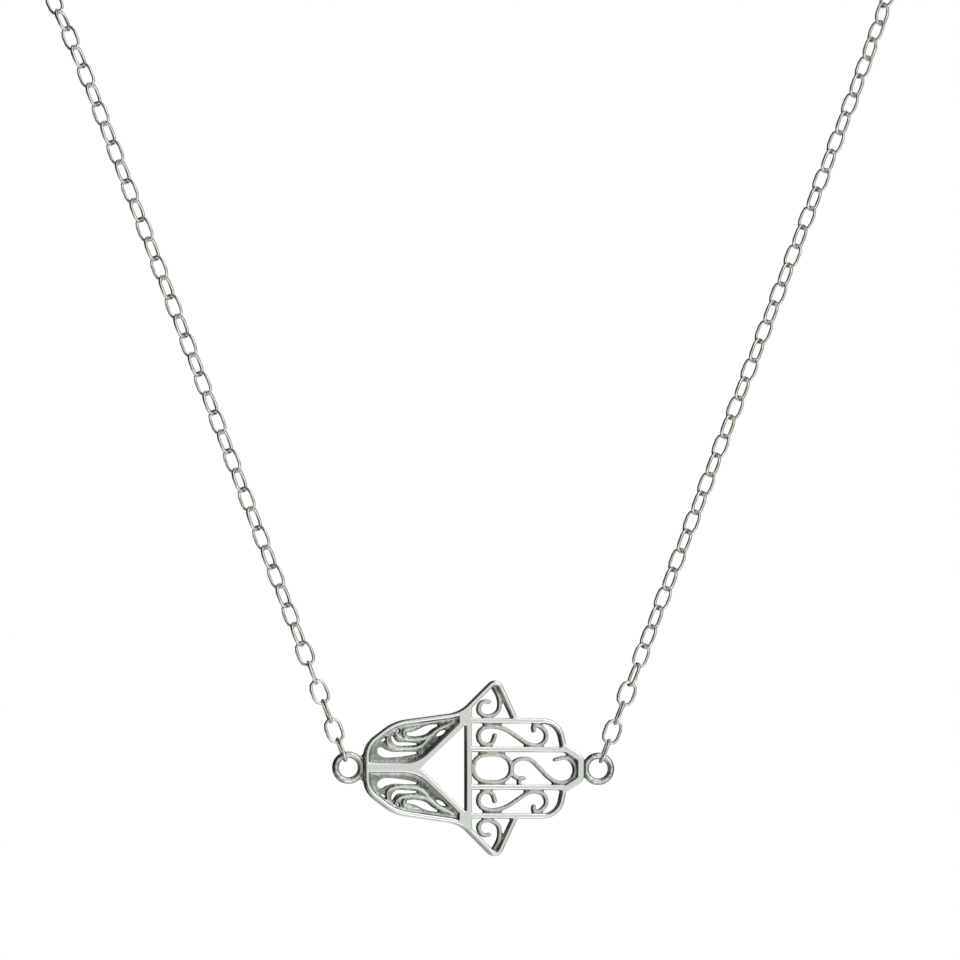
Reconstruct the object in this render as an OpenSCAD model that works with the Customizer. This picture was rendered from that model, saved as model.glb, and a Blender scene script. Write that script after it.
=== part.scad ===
// Sideways hamsa pendant on a fine cable chain, worn as a closed necklace.
// The pendant is one cast plate: a flat rim and bars, lower scrollwork and pierced leaf work
// between them, and an end ring at each side. A chain of oval links leads from each ring to a
// clasp at the nape. The origin is the middle of the clasp, where the necklace rests on the
// nape. +X is to the right as seen from the front, +Y points from the pendant to the nape, and
// +Z is up.

/* [Hand] */
// Length of the hand, from the wrist rim to the middle fingertip
hand_length = 20.2; // [19.4:0.1:21]
// Width of the hand, from thumb tip to thumb tip
hand_width = 16; // [15.2:0.1:16.8]
// Front to back thickness of the rim and bars
plate_t = 1.5; // [1.2:0.05:1.8]
// Width of the rim band seen from the front
rim_w = 0.5; // [0.42:0.02:0.6]
// Width of the rim band round the middle fingertip
tip_rim_w = 0.62; // [0.5:0.02:0.7]
// Width of the bars between the fingers
bar_w = 0.46; // [0.4:0.02:0.54]
// Width of the upright bar and the two slanted bars of the palm
palm_bar_w = 0.52; // [0.44:0.02:0.6]
// Width of the bar along the middle of the wrist
wrist_bar_w = 0.84; // [0.7:0.02:1]
// Radius of the hollow curve where the wrist bar spreads into the slanted bars
wrist_flare_r = 3.4; // [2:0.1:4]
// Radius in the small inner corners of the rim and bars
corner_r = 0.12; // [0.06:0.02:0.2]

/* [Scrollwork] */
// Front to back thickness of the scrolls, sunk below the rim on both faces
scroll_t = 0.9; // [0.7:0.05:1.1]
// Width of the scroll strokes
scroll_w = 0.35; // [0.31:0.01:0.41]
// Radius of the metal that fills the narrow gaps beside a scroll
solder_r = 0.19; // [0.15:0.01:0.23]
// How far the scrollwork runs in under the edges of the rim and bars
tuck = 0.12; // [0.08:0.02:0.16]

/* [Leaf work] */
// Front to back thickness of the leaf work between its raised veins
leaf_t = 0.66; // [0.5:0.02:0.74]
// Width of the raised border of the leaf work along the rim and bars
leaf_border_w = 0.26; // [0.2:0.02:0.34]
// Flat edge between a raised vein and the openings beside it
vein_edge = 0.04; // [0.03:0.01:0.06]

/* [End rings] */
// Outer diameter of the end rings
ring_outer_d = 3; // [2.8:0.05:3.2]
// Wire diameter of the end rings
ring_wire_d = 0.64; // [0.54:0.01:0.68]
// How far each end ring sits into the rim
ring_sink = 0.1; // [0.06:0.02:0.2]
// Thickness of the solder between ring and rim
solder_t = 0.34; // [0.24:0.02:0.4]
// Radius of the hollow solder corners beside the rings
solder_fillet_r = 0.55; // [0.3:0.05:0.8]

/* [Chain] */
// Length round the whole necklace, from ring to ring by way of the clasp and the pendant
loop_length = 459; // [445:1:465]
// Outside length of a link
link_length = 2.54; // [2.44:0.01:2.6]
// Outside width of a link
link_width = 1.66; // [1.6:0.01:1.74]
// Wire diameter of the links
link_wire_d = 0.27; // [0.24:0.01:0.28]
// Clear space between each link and what it hooks into
link_gap = 0.13; // [0.11:0.01:0.18]
// Links at each end of a chain that lie square to their ring
square_links = 4; // [3:1:6]
// Turn of each link after those, until the links lie at half a right angle
link_twist_angle = 12.5; // [8:0.5:15]

/* [Clasp] */
// Outer diameter of the round clasp
clasp_outer_d = 5.4; // [5:0.1:6]
// Tube diameter of the round clasp
clasp_wire_d = 0.7; // [0.6:0.05:0.75]
// Length of the clasp's thumb tab, from the middle of the tube
clasp_tab_l = 1.3; // [1:0.1:1.6]
// Diameter of the clasp's thumb tab
clasp_tab_d = 0.49; // [0.4:0.01:0.56]

/* [Drape] */
// Angle of the chain from upright as it leaves the pendant
leg_angle = 21; // [19:0.5:23]
// Height above the end rings at which the chain starts to lean back round the neck
lean_start = 60; // [50:1:70]
// Radius of the bend over the collarbones
lean_r = 25; // [20:1:30]
// Angle from upright at which the chain leans back beside the neck
lean_angle = 65; // [58:1:70]

/* [Hidden] */
silver = [0.78, 0.81, 0.77];
chain_silver = [0.7, 0.73, 0.69];
$fn = 20;
flare_fn = 72;
stroke_end_fn = 16;
arc_step_angle = 7.5;
curve_steps = 3;
slack_angle = 0.1;

half_l = hand_length / 2;
half_w = hand_width / 2;

// Rim of the upper half of the hand as a belt round circles, from the wrist to the fingertip.
// Columns: centre along the hand and across it, radius, turn, -1 to the right and 1 to the left
ALONG = 0;
ACROSS = 1;
RADIUS = 2;
TURN = 3;
wrist_r = 0.268 * half_w;
thumb_tip_r = 0.064 * half_w;
fingertip_r = 0.08 * half_w;
rim_circles = [
    [rim_w / 2 + wrist_r - half_l, 0.123 * half_w, wrist_r, -1],
    [0.565 * half_w - half_l, 0, 0.527 * half_w, -1],
    [-0.272 * half_l, half_w, 0.414 * half_w, 1],
    [0.19 * half_l, half_w - rim_w / 2 - thumb_tip_r, thumb_tip_r, -1],
    [0.428 * half_l, 0.636 * half_w, 0.095 * half_w, 1],
    [0.628 * half_l, 0.321 * half_w, 0.22 * half_w, -1]
];
fingertip_x = half_l - tip_rim_w / 2 - fingertip_r;
fingertip_circles = [
    [fingertip_x - 0.109 * half_w, 0.209 * half_w, 0.025 * half_w, -1],
    [fingertip_x, 0.074 * half_w, fingertip_r, -1]
];
// Heading of the rim where it runs in behind the middle fingertip
rim_end_angle = -75;

// Middle lines of the bars
inner_bar_z = 0.215 * half_w;
outer_bar_z = 0.541 * half_w;
upright_x = -0.05 * half_l;

// Corners of the open triangle in the palm
palm_apex_x = -0.49 * half_l;
palm_back_x = upright_x - palm_bar_w / 2 - tuck / 2;
palm_corner_z = 0.5 * half_w;

// Solid corners beside the thumbs: where they start along the hand, and their room across it
web_x = -0.142 * half_l;
web_room = 0.25 * half_w;

// Scrolls as smooth strokes. Columns: along the hand as a share of half_l, across it as a
// share of half_w.
thumb_scroll = [
    [0.14, 0.755],
    [0.088, 0.758],
    [0.051, 0.713],
    [0.05, 0.64],
    [0.1, 0.595],
    [0.165, 0.6],
    [0.222, 0.65],
    [0.237, 0.737],
    [0.222, 0.83],
    [0.186, 0.91]
];
finger_scroll = [
    [0.193, 0.375],
    [0.17, 0.295],
    [0.115, 0.266],
    [0.058, 0.305],
    [0.045, 0.385],
    [0.085, 0.455],
    [0.18, 0.475],
    [0.29, 0.44],
    [0.4, 0.355],
    [0.49, 0.283],
    [0.575, 0.263],
    [0.645, 0.307],
    [0.66, 0.4],
    [0.61, 0.475],
    [0.55, 0.487],
    [0.548, 0.43]
];
palm_oval = [
    [-0.008, 0],
    [0.012, 0.085],
    [0.07, 0.142],
    [0.165, 0.157],
    [0.26, 0.142],
    [0.322, 0.085],
    [0.342, 0],
    [0.322, -0.085],
    [0.26, -0.142],
    [0.165, -0.157],
    [0.07, -0.142],
    [0.012, -0.085],
    [-0.008, 0]
];
middle_scroll = [
    [0.455, -0.11],
    [0.395, -0.106],
    [0.352, -0.065],
    [0.347, 0.01],
    [0.375, 0.08],
    [0.45, 0.111],
    [0.525, 0.09],
    [0.595, 0.01],
    [0.665, -0.08],
    [0.74, -0.145],
    [0.82, -0.16],
    [0.895, -0.115],
    [0.925, -0.01],
    [0.895, 0.085],
    [0.83, 0.125],
    [0.745, 0.1]
];
scroll_foot = [
    [0.415, -0.115],
    [0.415, -0.19]
];

// Openings pierced through the leaf work of the upper wrist. Columns: along the hand as a
// share of half_l, across it as a share of half_w, width as a share of half_w.
leaf_openings = [
    [
        [-0.52, 0.172, 0.02],
        [-0.62, 0.16, 0.05],
        [-0.73, 0.15, 0.062],
        [-0.81, 0.163, 0.09],
        [-0.845, 0.19, 0.09]
    ],
    [
        [-0.52, 0.272, 0.02],
        [-0.61, 0.272, 0.038],
        [-0.69, 0.272, 0.042],
        [-0.725, 0.305, 0.045],
        [-0.742, 0.355, 0.025]
    ],
    [
        [-0.6, 0.384, 0.035],
        [-0.53, 0.39, 0.06],
        [-0.45, 0.425, 0.085],
        [-0.39, 0.465, 0.055],
        [-0.33, 0.488, 0.02]
    ],
    [
        [-0.335, 0.37, 0.025],
        [-0.295, 0.4, 0.05],
        [-0.258, 0.425, 0.02]
    ],
    [
        [-0.845, 0.305, 0.02],
        [-0.82, 0.32, 0.034],
        [-0.8, 0.345, 0.02]
    ],
    [
        [-0.692, 0.405, 0.022],
        [-0.684, 0.435, 0.022]
    ]
];

// Veins raised on the leaf work, with the same columns
leaf_veins = [
    [
        [-0.188, 0.524, 0.034],
        [-0.257, 0.478, 0.05],
        [-0.337, 0.428, 0.058],
        [-0.406, 0.352, 0.06],
        [-0.455, 0.28, 0.054],
        [-0.515, 0.232, 0.046],
        [-0.604, 0.217, 0.042],
        [-0.703, 0.218, 0.042],
        [-0.767, 0.243, 0.042],
        [-0.79, 0.29, 0.038],
        [-0.785, 0.35, 0.03]
    ],
    [
        [-0.386, 0.385, 0.034],
        [-0.465, 0.336, 0.042],
        [-0.554, 0.32, 0.042],
        [-0.634, 0.325, 0.042],
        [-0.69, 0.352, 0.04],
        [-0.716, 0.41, 0.03]
    ],
    [
        [-0.5, 0.466, 0.03],
        [-0.57, 0.452, 0.036],
        [-0.628, 0.43, 0.04],
        [-0.642, 0.392, 0.04],
        [-0.628, 0.352, 0.03]
    ]
];

// End rings
ring_mid_r = (ring_outer_d - ring_wire_d) / 2;
ring_x = half_l + ring_outer_d / 2 - ring_sink;
solder_reach = ring_wire_d * 0.3;

// Links: each end is half a ring of radius end_r, and straight wire joins the ends
end_r = (link_width - link_wire_d) / 2;
straight_l = link_length - link_width;
bore_half_l = link_length / 2 - link_wire_d;
pitch = 2 * bore_half_l - link_gap;
first_link_s = ring_mid_r - ring_wire_d / 2 - link_gap + bore_half_l;

// Clasp
clasp_mid_r = (clasp_outer_d - clasp_wire_d) / 2;
last_link_s = clasp_mid_r - clasp_wire_d / 2 - link_gap + bore_half_l;

// Each chain has an odd number of links, so that both end links stand square to their rings
link_room = loop_length / 2 - ring_x - first_link_s - last_link_s;
link_count = 2 * floor(link_room / pitch / 2) + 1;
half_loop = first_link_s + (link_count - 1) * pitch + last_link_s;

// The loop laid flat: a straight leg rises from each end ring and meets an arc over the nape
arc_share = (90 + leg_angle) * PI / 180;
leg_l = (half_loop - ring_x * arc_share / cos(leg_angle)) / (1 + arc_share * tan(leg_angle));
arc_r = (ring_x + leg_l * sin(leg_angle)) / cos(leg_angle);
arc_v = leg_l * cos(leg_angle) + arc_r * sin(leg_angle);
lean_end = lean_start + lean_r * lean_angle * PI / 180;
nape = place_v(0, arc_v + arc_r);

// Place in space of a point of the flat loop, u across and v up: the sheet that holds the loop
// stands upright in front and leans back above lean_start
function lean_at(v) = min(max(v - lean_start, 0) / lean_r * 180 / PI, lean_angle);
function place_v(u, v) =
    let(lean = lean_at(v), past = max(v - lean_end, 0))
    [
        u,
        lean_r * (1 - cos(lean)) + past * sin(lean),
        min(v, lean_start) + lean_r * sin(lean) + past * cos(lean)
    ];

// Point and direction of the right half of the flat loop at a distance s from its end ring
function turned(s) = max(s - leg_l, 0) / arc_r * 180 / PI - leg_angle;
function flat_point(s) =
    s < leg_l
        ? [ring_x + s * sin(leg_angle), s * cos(leg_angle)]
        : [arc_r * cos(turned(s)), arc_v + arc_r * sin(turned(s))];
function flat_run(s) = [-sin(turned(s)), cos(turned(s))];

// Angle of a link about the chain's line: link 0 and the last one stand edge on to the sheet
function link_roll(i) =
    let(from_end = min(i, link_count - 1 - i), late = max(from_end - square_links + 1, 0))
    90 * ((i + 1) % 2) + min(link_twist_angle * late, 45);

// Matrix that sets a link on the chain at a distance s from the end ring, with a roll
function link_seat(s, roll) =
    let(
        flat = flat_point(s),
        run = flat_run(s),
        lean = lean_at(flat.y),
        along = [run.x, run.y * sin(lean), run.y * cos(lean)],
        out = [0, -cos(lean), sin(lean)],
        across = cross(out, along),
        wide = cos(roll) * across + sin(roll) * out,
        thick = cross(along, wide),
        at = place_v(flat.x, flat.y) - nape
    )
    [for (k = [0:2]) [along[k], wide[k], thick[k], at[k]]];

// Belt round circles: sampled middle line of a strap that runs from circle to circle
function turn_r(c) = c[RADIUS] * c[TURN];
function whole_turn(a) =
    let(rest = a - 360 * floor(a / 360))
    rest > 360 - slack_angle ? 0 : rest;
function swing(from, to, turn) = turn > 0 ? whole_turn(to - from) : -whole_turn(from - to);
function run_heading(a, b) =
    let(dx = b[ALONG] - a[ALONG], dz = b[ACROSS] - a[ACROSS])
    atan2(dz, dx) - asin((turn_r(b) - turn_r(a)) / norm([dx, dz]));
function on_circle(c, heading) =
    [c[ALONG] + turn_r(c) * sin(heading), c[ACROSS] - turn_r(c) * cos(heading)];
function arc_points(c, from, to) =
    let(sweep = swing(from, to, c[TURN]), steps = max(1, ceil(abs(sweep) / arc_step_angle)))
    [for (i = [0:steps]) on_circle(c, from + sweep * i / steps)];
function belt(circles, start, end) =
    let(last = len(circles) - 1)
    [
        for (i = [0:last])
            each arc_points(
                circles[i],
                i == 0 ? start : run_heading(circles[i - 1], circles[i]),
                i == last ? end : run_heading(circles[i], circles[i + 1])
            )
    ];

// Table rows in millimetres
function sized_stroke(rows, w) = [for (r = rows) [r.x * half_l, r.y * half_w, w]];
function sized_opening(rows) = [for (r = rows) [r.x * half_l, r.y * half_w, r.z * half_w]];

// Smooth curve through rows of along, across and width
function between(a, b, c, d, t) =
    (2 * b + (c - a) * t + (2 * a - 5 * b + 4 * c - d) * t * t + (3 * b - a - 3 * c + d) * t * t * t) / 2;
function smooth(rows) =
    let(last = len(rows) - 1)
    [
        for (i = [0:last - 1])
            for (j = [0:curve_steps - 1])
                between(
                    rows[max(i - 1, 0)],
                    rows[i],
                    rows[i + 1],
                    rows[min(i + 2, last)],
                    j / curve_steps
                ),
        rows[last]
    ];

// Sideways direction of a line of points at point i
function side_of(p, i) =
    let(a = p[max(i - 1, 0)], b = p[min(i + 1, len(p) - 1)], d = [b.x - a.x, b.y - a.y])
    [-d.y, d.x] / norm(d);

// Stroke along rows of along, across and width, with round ends
module stroke(rows) {
    last = len(rows) - 1;
    polygon([
        for (i = [0:last]) [rows[i].x, rows[i].y] + side_of(rows, i) * rows[i].z / 2,
        for (i = [last:-1:0]) [rows[i].x, rows[i].y] - side_of(rows, i) * rows[i].z / 2
    ]);
    for (end = [rows[0], rows[last]])
        translate([end.x, end.y])
            circle(d = end.z, $fn = stroke_end_fn);
}

module both_halves() {
    children();
    mirror([0, 1])
        children();
}

function rim_line() = belt(rim_circles, 90, rim_end_angle);
function fingertip_line() = belt(fingertip_circles, 0, -90);
function with_width(points, w) = [for (p = points) [p.x, p.y, w]];

// Everything inside the middle line of the rim's upper half
module hand_area() {
    rim = rim_line();
    tip = fingertip_line();
    polygon([
        [rim[0].x, -rim_w],
        each rim,
        each tip,
        [tip[len(tip) - 1].x, -rim_w]
    ]);
}

module rim_shape() {
    rim = rim_line();
    tip = fingertip_line();
    both_halves() {
        stroke(with_width([[rim[0].x, 0], each rim, tip[0]], rim_w));
        stroke(with_width([each tip, [tip[len(tip) - 1].x, 0]], tip_rim_w));
    }
}

// Triangle of the palm, grown by a border
module palm_triangle(border) {
    offset(delta = border)
        polygon([
            [palm_apex_x, 0],
            [palm_back_x, palm_corner_z],
            [palm_back_x, -palm_corner_z]
        ]);
}

// Wrist bar, spreading in hollow curves into the slanted bars
module palm_bars() {
    wrist_l = half_l - rim_w + palm_apex_x;
    difference() {
        offset(r = -wrist_flare_r, $fn = flare_fn)
            offset(delta = wrist_flare_r) {
                intersection() {
                    palm_triangle(palm_bar_w);
                    translate([palm_apex_x - palm_bar_w * 2, -half_w])
                        square([upright_x - palm_apex_x + palm_bar_w * 2, hand_width]);
                }
                translate([palm_apex_x - wrist_l, -wrist_bar_w / 2])
                    square([wrist_l, wrist_bar_w]);
            }
        palm_triangle(0);
    }
}

module finger_bars() {
    outer_l = rim_circles[len(rim_circles) - 1][ALONG] - upright_x;
    inner_l = fingertip_circles[0][ALONG] - upright_x;
    translate([upright_x - palm_bar_w / 2, -outer_bar_z])
        square([palm_bar_w, 2 * outer_bar_z]);
    both_halves() {
        translate([upright_x, outer_bar_z - bar_w / 2])
            square([outer_l, bar_w]);
        translate([upright_x, inner_bar_z - bar_w / 2])
            square([inner_l, bar_w]);
    }
}

// Solid corners where the slanted bars meet the outer finger bars and the rim
module corner_webs() {
    both_halves()
        intersection() {
            hand_area();
            translate([web_x, palm_corner_z - tuck / 2])
                square([upright_x + palm_bar_w / 2 - web_x, web_room]);
        }
}

// Outline of all that stands at full thickness
module bold_shape() {
    offset(r = -corner_r)
        offset(delta = corner_r) {
            rim_shape();
            palm_bars();
            finger_bars();
            corner_webs();
        }
}

module scroll_strokes() {
    both_halves() {
        stroke(smooth(sized_stroke(thumb_scroll, scroll_w)));
        stroke(smooth(sized_stroke(finger_scroll, scroll_w)));
    }
    stroke(smooth(sized_stroke(palm_oval, scroll_w)));
    stroke(smooth(sized_stroke(middle_scroll, scroll_w)));
    stroke(sized_stroke(scroll_foot, scroll_w));
}

// Room of the leaf work on both sides of the wrist bar
module leaf_room() {
    both_halves()
        difference() {
            intersection() {
                hand_area();
                translate([-half_l, 0])
                    square([half_l + web_x + 3 * tuck, half_w]);
            }
            palm_triangle(2 * tuck);
        }
}

module leaf_strokes(table) {
    both_halves()
        for (rows = table)
            stroke(smooth(sized_opening(rows)));
}

// Pierced leaf work
module leaf_work() {
    difference() {
        leaf_room();
        leaf_strokes(leaf_openings);
    }
}

// Raised border and veins of the leaf work
module leaf_relief() {
    offset(delta = vein_edge)
        offset(delta = -2 * vein_edge)
            intersection() {
                leaf_work();
                union() {
                    leaf_strokes(leaf_veins);
                    difference() {
                        leaf_room();
                        offset(delta = -leaf_border_w)
                            difference() {
                                leaf_room();
                                bold_shape();
                            }
                    }
                }
            }
}

// Outline of the scrollwork and the raised leaf work, which run in under the rim and bars
module fine_shape() {
    offset(r = -solder_r)
        offset(delta = solder_r) {
            intersection() {
                offset(delta = -tuck)
                    bold_shape();
                translate([web_x, -half_w])
                    square([hand_length, hand_width]);
            }
            scroll_strokes();
        }
    leaf_relief();
}

module end_ring() {
    rotate([90, 0, 0])
        rotate_extrude()
            translate([ring_mid_r, 0])
                circle(d = ring_wire_d);
}

// Solder that runs from an end ring to the rim beside it
module ring_solder() {
    offset(r = -solder_fillet_r)
        offset(delta = solder_fillet_r) {
            translate([ring_x, 0])
                difference() {
                    circle(r = ring_mid_r + solder_reach);
                    circle(r = ring_mid_r - solder_reach);
                }
            translate([half_l - rim_w, -ring_mid_r])
                square([rim_w / 2, 2 * ring_mid_r]);
        }
}

// Plate that stands upright in the XZ plane, half its thickness to each side
module upright_plate(t) {
    rotate([90, 0, 0])
        linear_extrude(height = t, center = true)
            children();
}

module hamsa() {
    color(silver)
        translate(-nape) {
            upright_plate(plate_t)
                bold_shape();
            // Shapes that overlap are made one outline before they get their thickness
            upright_plate(scroll_t)
                offset(delta = 0)
                    fine_shape();
            upright_plate(leaf_t)
                offset(delta = 0)
                    leaf_work();
            for (side = [0, 1])
                mirror([side, 0, 0]) {
                    translate([ring_x, 0, 0])
                        end_ring();
                    upright_plate(solder_t)
                        ring_solder();
                }
        }
}

// Oval link in the XY plane, its length along X
module link() {
    for (end = [0, 180])
        rotate([0, 0, end])
            translate([straight_l / 2, 0, 0])
                rotate_extrude(angle = 180, start = -90)
                    translate([end_r, 0])
                        circle(d = link_wire_d);
    for (side = [-end_r, end_r])
        translate([-straight_l / 2, side, 0])
            rotate([0, 90, 0])
                cylinder(d = link_wire_d, h = straight_l);
}

module chain() {
    color(chain_silver)
        for (i = [0:link_count - 1])
            multmatrix(link_seat(first_link_s + i * pitch, link_roll(i)))
                link();
}

module chain_right() {
    chain();
}

module chain_left() {
    mirror([1, 0, 0])
        chain();
}

// Round clasp at the nape, flat in the sheet that holds the chains, with its small thumb tab
module clasp() {
    color(silver)
        rotate([-lean_angle, 0, 0]) {
            rotate([90, 0, 0])
                rotate_extrude()
                    translate([clasp_mid_r, 0])
                        circle(d = clasp_wire_d);
            translate([0, 0, clasp_mid_r])
                cylinder(d = clasp_tab_d, h = clasp_tab_l);
        }
}

hamsa();
chain_left();
chain_right();
clasp();
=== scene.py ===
"""Dresses a worn hamsa necklace: the pierced hand plate, its two cable chains and the clasp.

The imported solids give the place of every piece. The plate is modelled flat and in millimetres: x
runs along the hand from the wrist to the fingertips, y through its thickness, and z across it from
thumb to thumb. Each finished mesh is then moved into the frame, in metres.
"""

import logging
import math
from dataclasses import dataclass
from enum import Enum
from itertools import pairwise
from typing import Any, Callable, Iterable, Sequence

import bmesh
import bpy
from mathutils import Matrix, Vector, geometry


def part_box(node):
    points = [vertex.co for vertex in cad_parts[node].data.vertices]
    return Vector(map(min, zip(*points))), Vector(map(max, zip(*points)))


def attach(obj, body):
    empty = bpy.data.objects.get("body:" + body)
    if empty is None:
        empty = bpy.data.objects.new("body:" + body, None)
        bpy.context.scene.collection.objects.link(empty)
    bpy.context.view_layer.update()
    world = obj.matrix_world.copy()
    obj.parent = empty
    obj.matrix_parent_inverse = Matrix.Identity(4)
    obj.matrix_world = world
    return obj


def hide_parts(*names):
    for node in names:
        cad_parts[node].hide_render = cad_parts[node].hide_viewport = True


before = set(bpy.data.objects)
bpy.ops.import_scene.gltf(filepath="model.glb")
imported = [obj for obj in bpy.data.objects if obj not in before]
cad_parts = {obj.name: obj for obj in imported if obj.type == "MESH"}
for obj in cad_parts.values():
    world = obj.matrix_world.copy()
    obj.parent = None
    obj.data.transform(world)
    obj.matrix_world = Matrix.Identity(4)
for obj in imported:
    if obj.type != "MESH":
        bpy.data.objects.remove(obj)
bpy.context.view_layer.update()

LOG = logging.getLogger("necklace")
MM = 0.001
QUARTER, HALF_TURN, FULL_TURN = math.pi / 2, math.pi, 2 * math.pi
# Share of a step by which a bend may miss a full turn and still count as no turn.
TURN_SLACK = 0.1
# Angle at which the chains' sheet and the clasp lean back at the nape.
NAPE_LEAN = math.radians(65)

Rows = Sequence[tuple[float, ...]]
Pair = tuple[Vector, Vector]
Box = tuple[Vector, Vector]
# Middle, width and leftward direction of a band at one point.
Slat = tuple[Vector, float, Vector]
Span = tuple[float, float]
Color = tuple[float, float, float, float]
WHITE: Color = (1.0, 1.0, 1.0, 1.0)
# Height z as it depends on the place along the hand.
Height = Callable[[float], float]

# Scrolls as smooth lines. Columns: along the hand as a share of its half length, across it as a
# share of its half width.
THUMB_SCROLL: Rows = (
    (0.14, 0.755), (0.088, 0.758), (0.051, 0.713), (0.05, 0.64), (0.1, 0.595),
    (0.165, 0.6), (0.222, 0.65), (0.237, 0.737), (0.222, 0.83), (0.186, 0.91),
)
FINGER_SCROLL: Rows = (
    (0.193, 0.375), (0.17, 0.295), (0.115, 0.266), (0.058, 0.305), (0.045, 0.385),
    (0.085, 0.455), (0.18, 0.475), (0.29, 0.44), (0.4, 0.355), (0.49, 0.283),
    (0.575, 0.263), (0.645, 0.307), (0.66, 0.4), (0.61, 0.475), (0.55, 0.487), (0.548, 0.43),
)
PALM_OVAL: Rows = (
    (-0.008, 0), (0.012, 0.085), (0.07, 0.142), (0.165, 0.157), (0.26, 0.142),
    (0.322, 0.085), (0.342, 0), (0.322, -0.085), (0.26, -0.142), (0.165, -0.157),
    (0.07, -0.142), (0.012, -0.085), (-0.008, 0),
)
MIDDLE_SCROLL: Rows = (
    (0.455, -0.11), (0.395, -0.106), (0.352, -0.065), (0.347, 0.01), (0.375, 0.08),
    (0.45, 0.111), (0.525, 0.09), (0.595, 0.01), (0.665, -0.08), (0.74, -0.145),
    (0.82, -0.16), (0.895, -0.115), (0.925, -0.01), (0.895, 0.085), (0.83, 0.125), (0.745, 0.1),
)
SCROLL_FOOT: Rows = ((0.415, -0.115), (0.415, -0.19))

# Openings and raised veins of the leaf work. Third column: width as a share of the half width.
LEAF_OPENINGS: tuple[Rows, ...] = (
    ((-0.52, 0.172, 0.02), (-0.62, 0.16, 0.05), (-0.73, 0.15, 0.062), (-0.81, 0.163, 0.09),
     (-0.845, 0.19, 0.09)),
    ((-0.52, 0.272, 0.02), (-0.61, 0.272, 0.038), (-0.69, 0.272, 0.042), (-0.725, 0.305, 0.045),
     (-0.742, 0.355, 0.025)),
    ((-0.6, 0.384, 0.035), (-0.53, 0.39, 0.06), (-0.45, 0.425, 0.085), (-0.39, 0.465, 0.055),
     (-0.33, 0.488, 0.02)),
    ((-0.335, 0.37, 0.025), (-0.295, 0.4, 0.05), (-0.258, 0.425, 0.02)),
    ((-0.845, 0.305, 0.02), (-0.82, 0.32, 0.034), (-0.8, 0.345, 0.02)),
    ((-0.692, 0.405, 0.022), (-0.684, 0.435, 0.022)),
)
LEAF_VEINS: tuple[Rows, ...] = (
    ((-0.188, 0.524, 0.034), (-0.257, 0.478, 0.05), (-0.337, 0.428, 0.058),
     (-0.406, 0.352, 0.06), (-0.455, 0.28, 0.054), (-0.515, 0.232, 0.046),
     (-0.604, 0.217, 0.042), (-0.703, 0.218, 0.042), (-0.767, 0.243, 0.042),
     (-0.79, 0.29, 0.038), (-0.785, 0.35, 0.03)),
    ((-0.386, 0.385, 0.034), (-0.465, 0.336, 0.042), (-0.554, 0.32, 0.042),
     (-0.634, 0.325, 0.042), (-0.69, 0.352, 0.04), (-0.716, 0.41, 0.03)),
    ((-0.5, 0.466, 0.03), (-0.57, 0.452, 0.036), (-0.628, 0.43, 0.04),
     (-0.642, 0.392, 0.04), (-0.628, 0.352, 0.03)),
)


class Section(Enum):
    """Cross-section of a band: how much of each side its rounded corners take."""

    FLAT = 0.0
    EASED = 0.18
    ROUNDED = 0.25
    DOMED = 0.4


class Turn(Enum):
    """Way in which a line bends, seen from the front."""

    LEFT = 1
    RIGHT = -1


def flat(x: float, z: float) -> Vector:
    """A point in the plate's middle plane."""
    return Vector((x, 0.0, z))


def across(line: Sequence[Vector], index: int) -> Vector:
    """Unit direction to the left of a line of points at one of them."""
    run = line[min(index + 1, len(line) - 1)] - line[max(index - 1, 0)]
    return flat(-run.z, run.x).normalized()


def height_at(line: Sequence[Vector], x: float) -> float:
    """Height of a line that runs steadily towards +x.

    Args:
        line: Points of the line.
        x: Place along the hand.

    Returns:
        The height z of the line there, or that of its nearest end.
    """
    for a, b in pairwise(line):
        if a.x <= x <= b.x and b.x > a.x:
            return a.z + (b.z - a.z) * (x - a.x) / (b.x - a.x)
    return line[0].z if x < line[0].x else line[-1].z


def nearest_on(line: Sequence[Vector], point: Vector) -> Vector:
    """Finds the point of a line that lies nearest to another point.

    Args:
        line: Points of the line.
        point: The other point.

    Returns:
        The nearest point on the line.
    """
    best = line[0]
    for a, b in pairwise(line):
        spot, share = geometry.intersect_point_line(point, a, b)
        spot = a if share < 0 else b if share > 1 else spot
        if (spot - point).length < (best - point).length:
            best = spot
    return best


def smooth_rows(rows: Iterable[Vector], steps: int) -> list[Vector]:
    """Smooth curve through rows of along, across and width.

    Args:
        rows: Rows that the curve passes through.
        steps: Pieces between one row and the next.

    Returns:
        The rows of the finer curve.
    """
    knots = list(rows)
    padded = [knots[0], *knots, knots[-1]]
    fine: list[Vector] = []
    for before, a, b, after in zip(padded, padded[1:], padded[2:], padded[3:]):
        # A sixth of the run between its neighbours gives each knot its handle.
        handles = a + (b - before) / 6, b - (after - a) / 6
        fine += geometry.interpolate_bezier(a, *handles, b, steps + 1)[:-1]
    return [*fine, knots[-1]]


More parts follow.
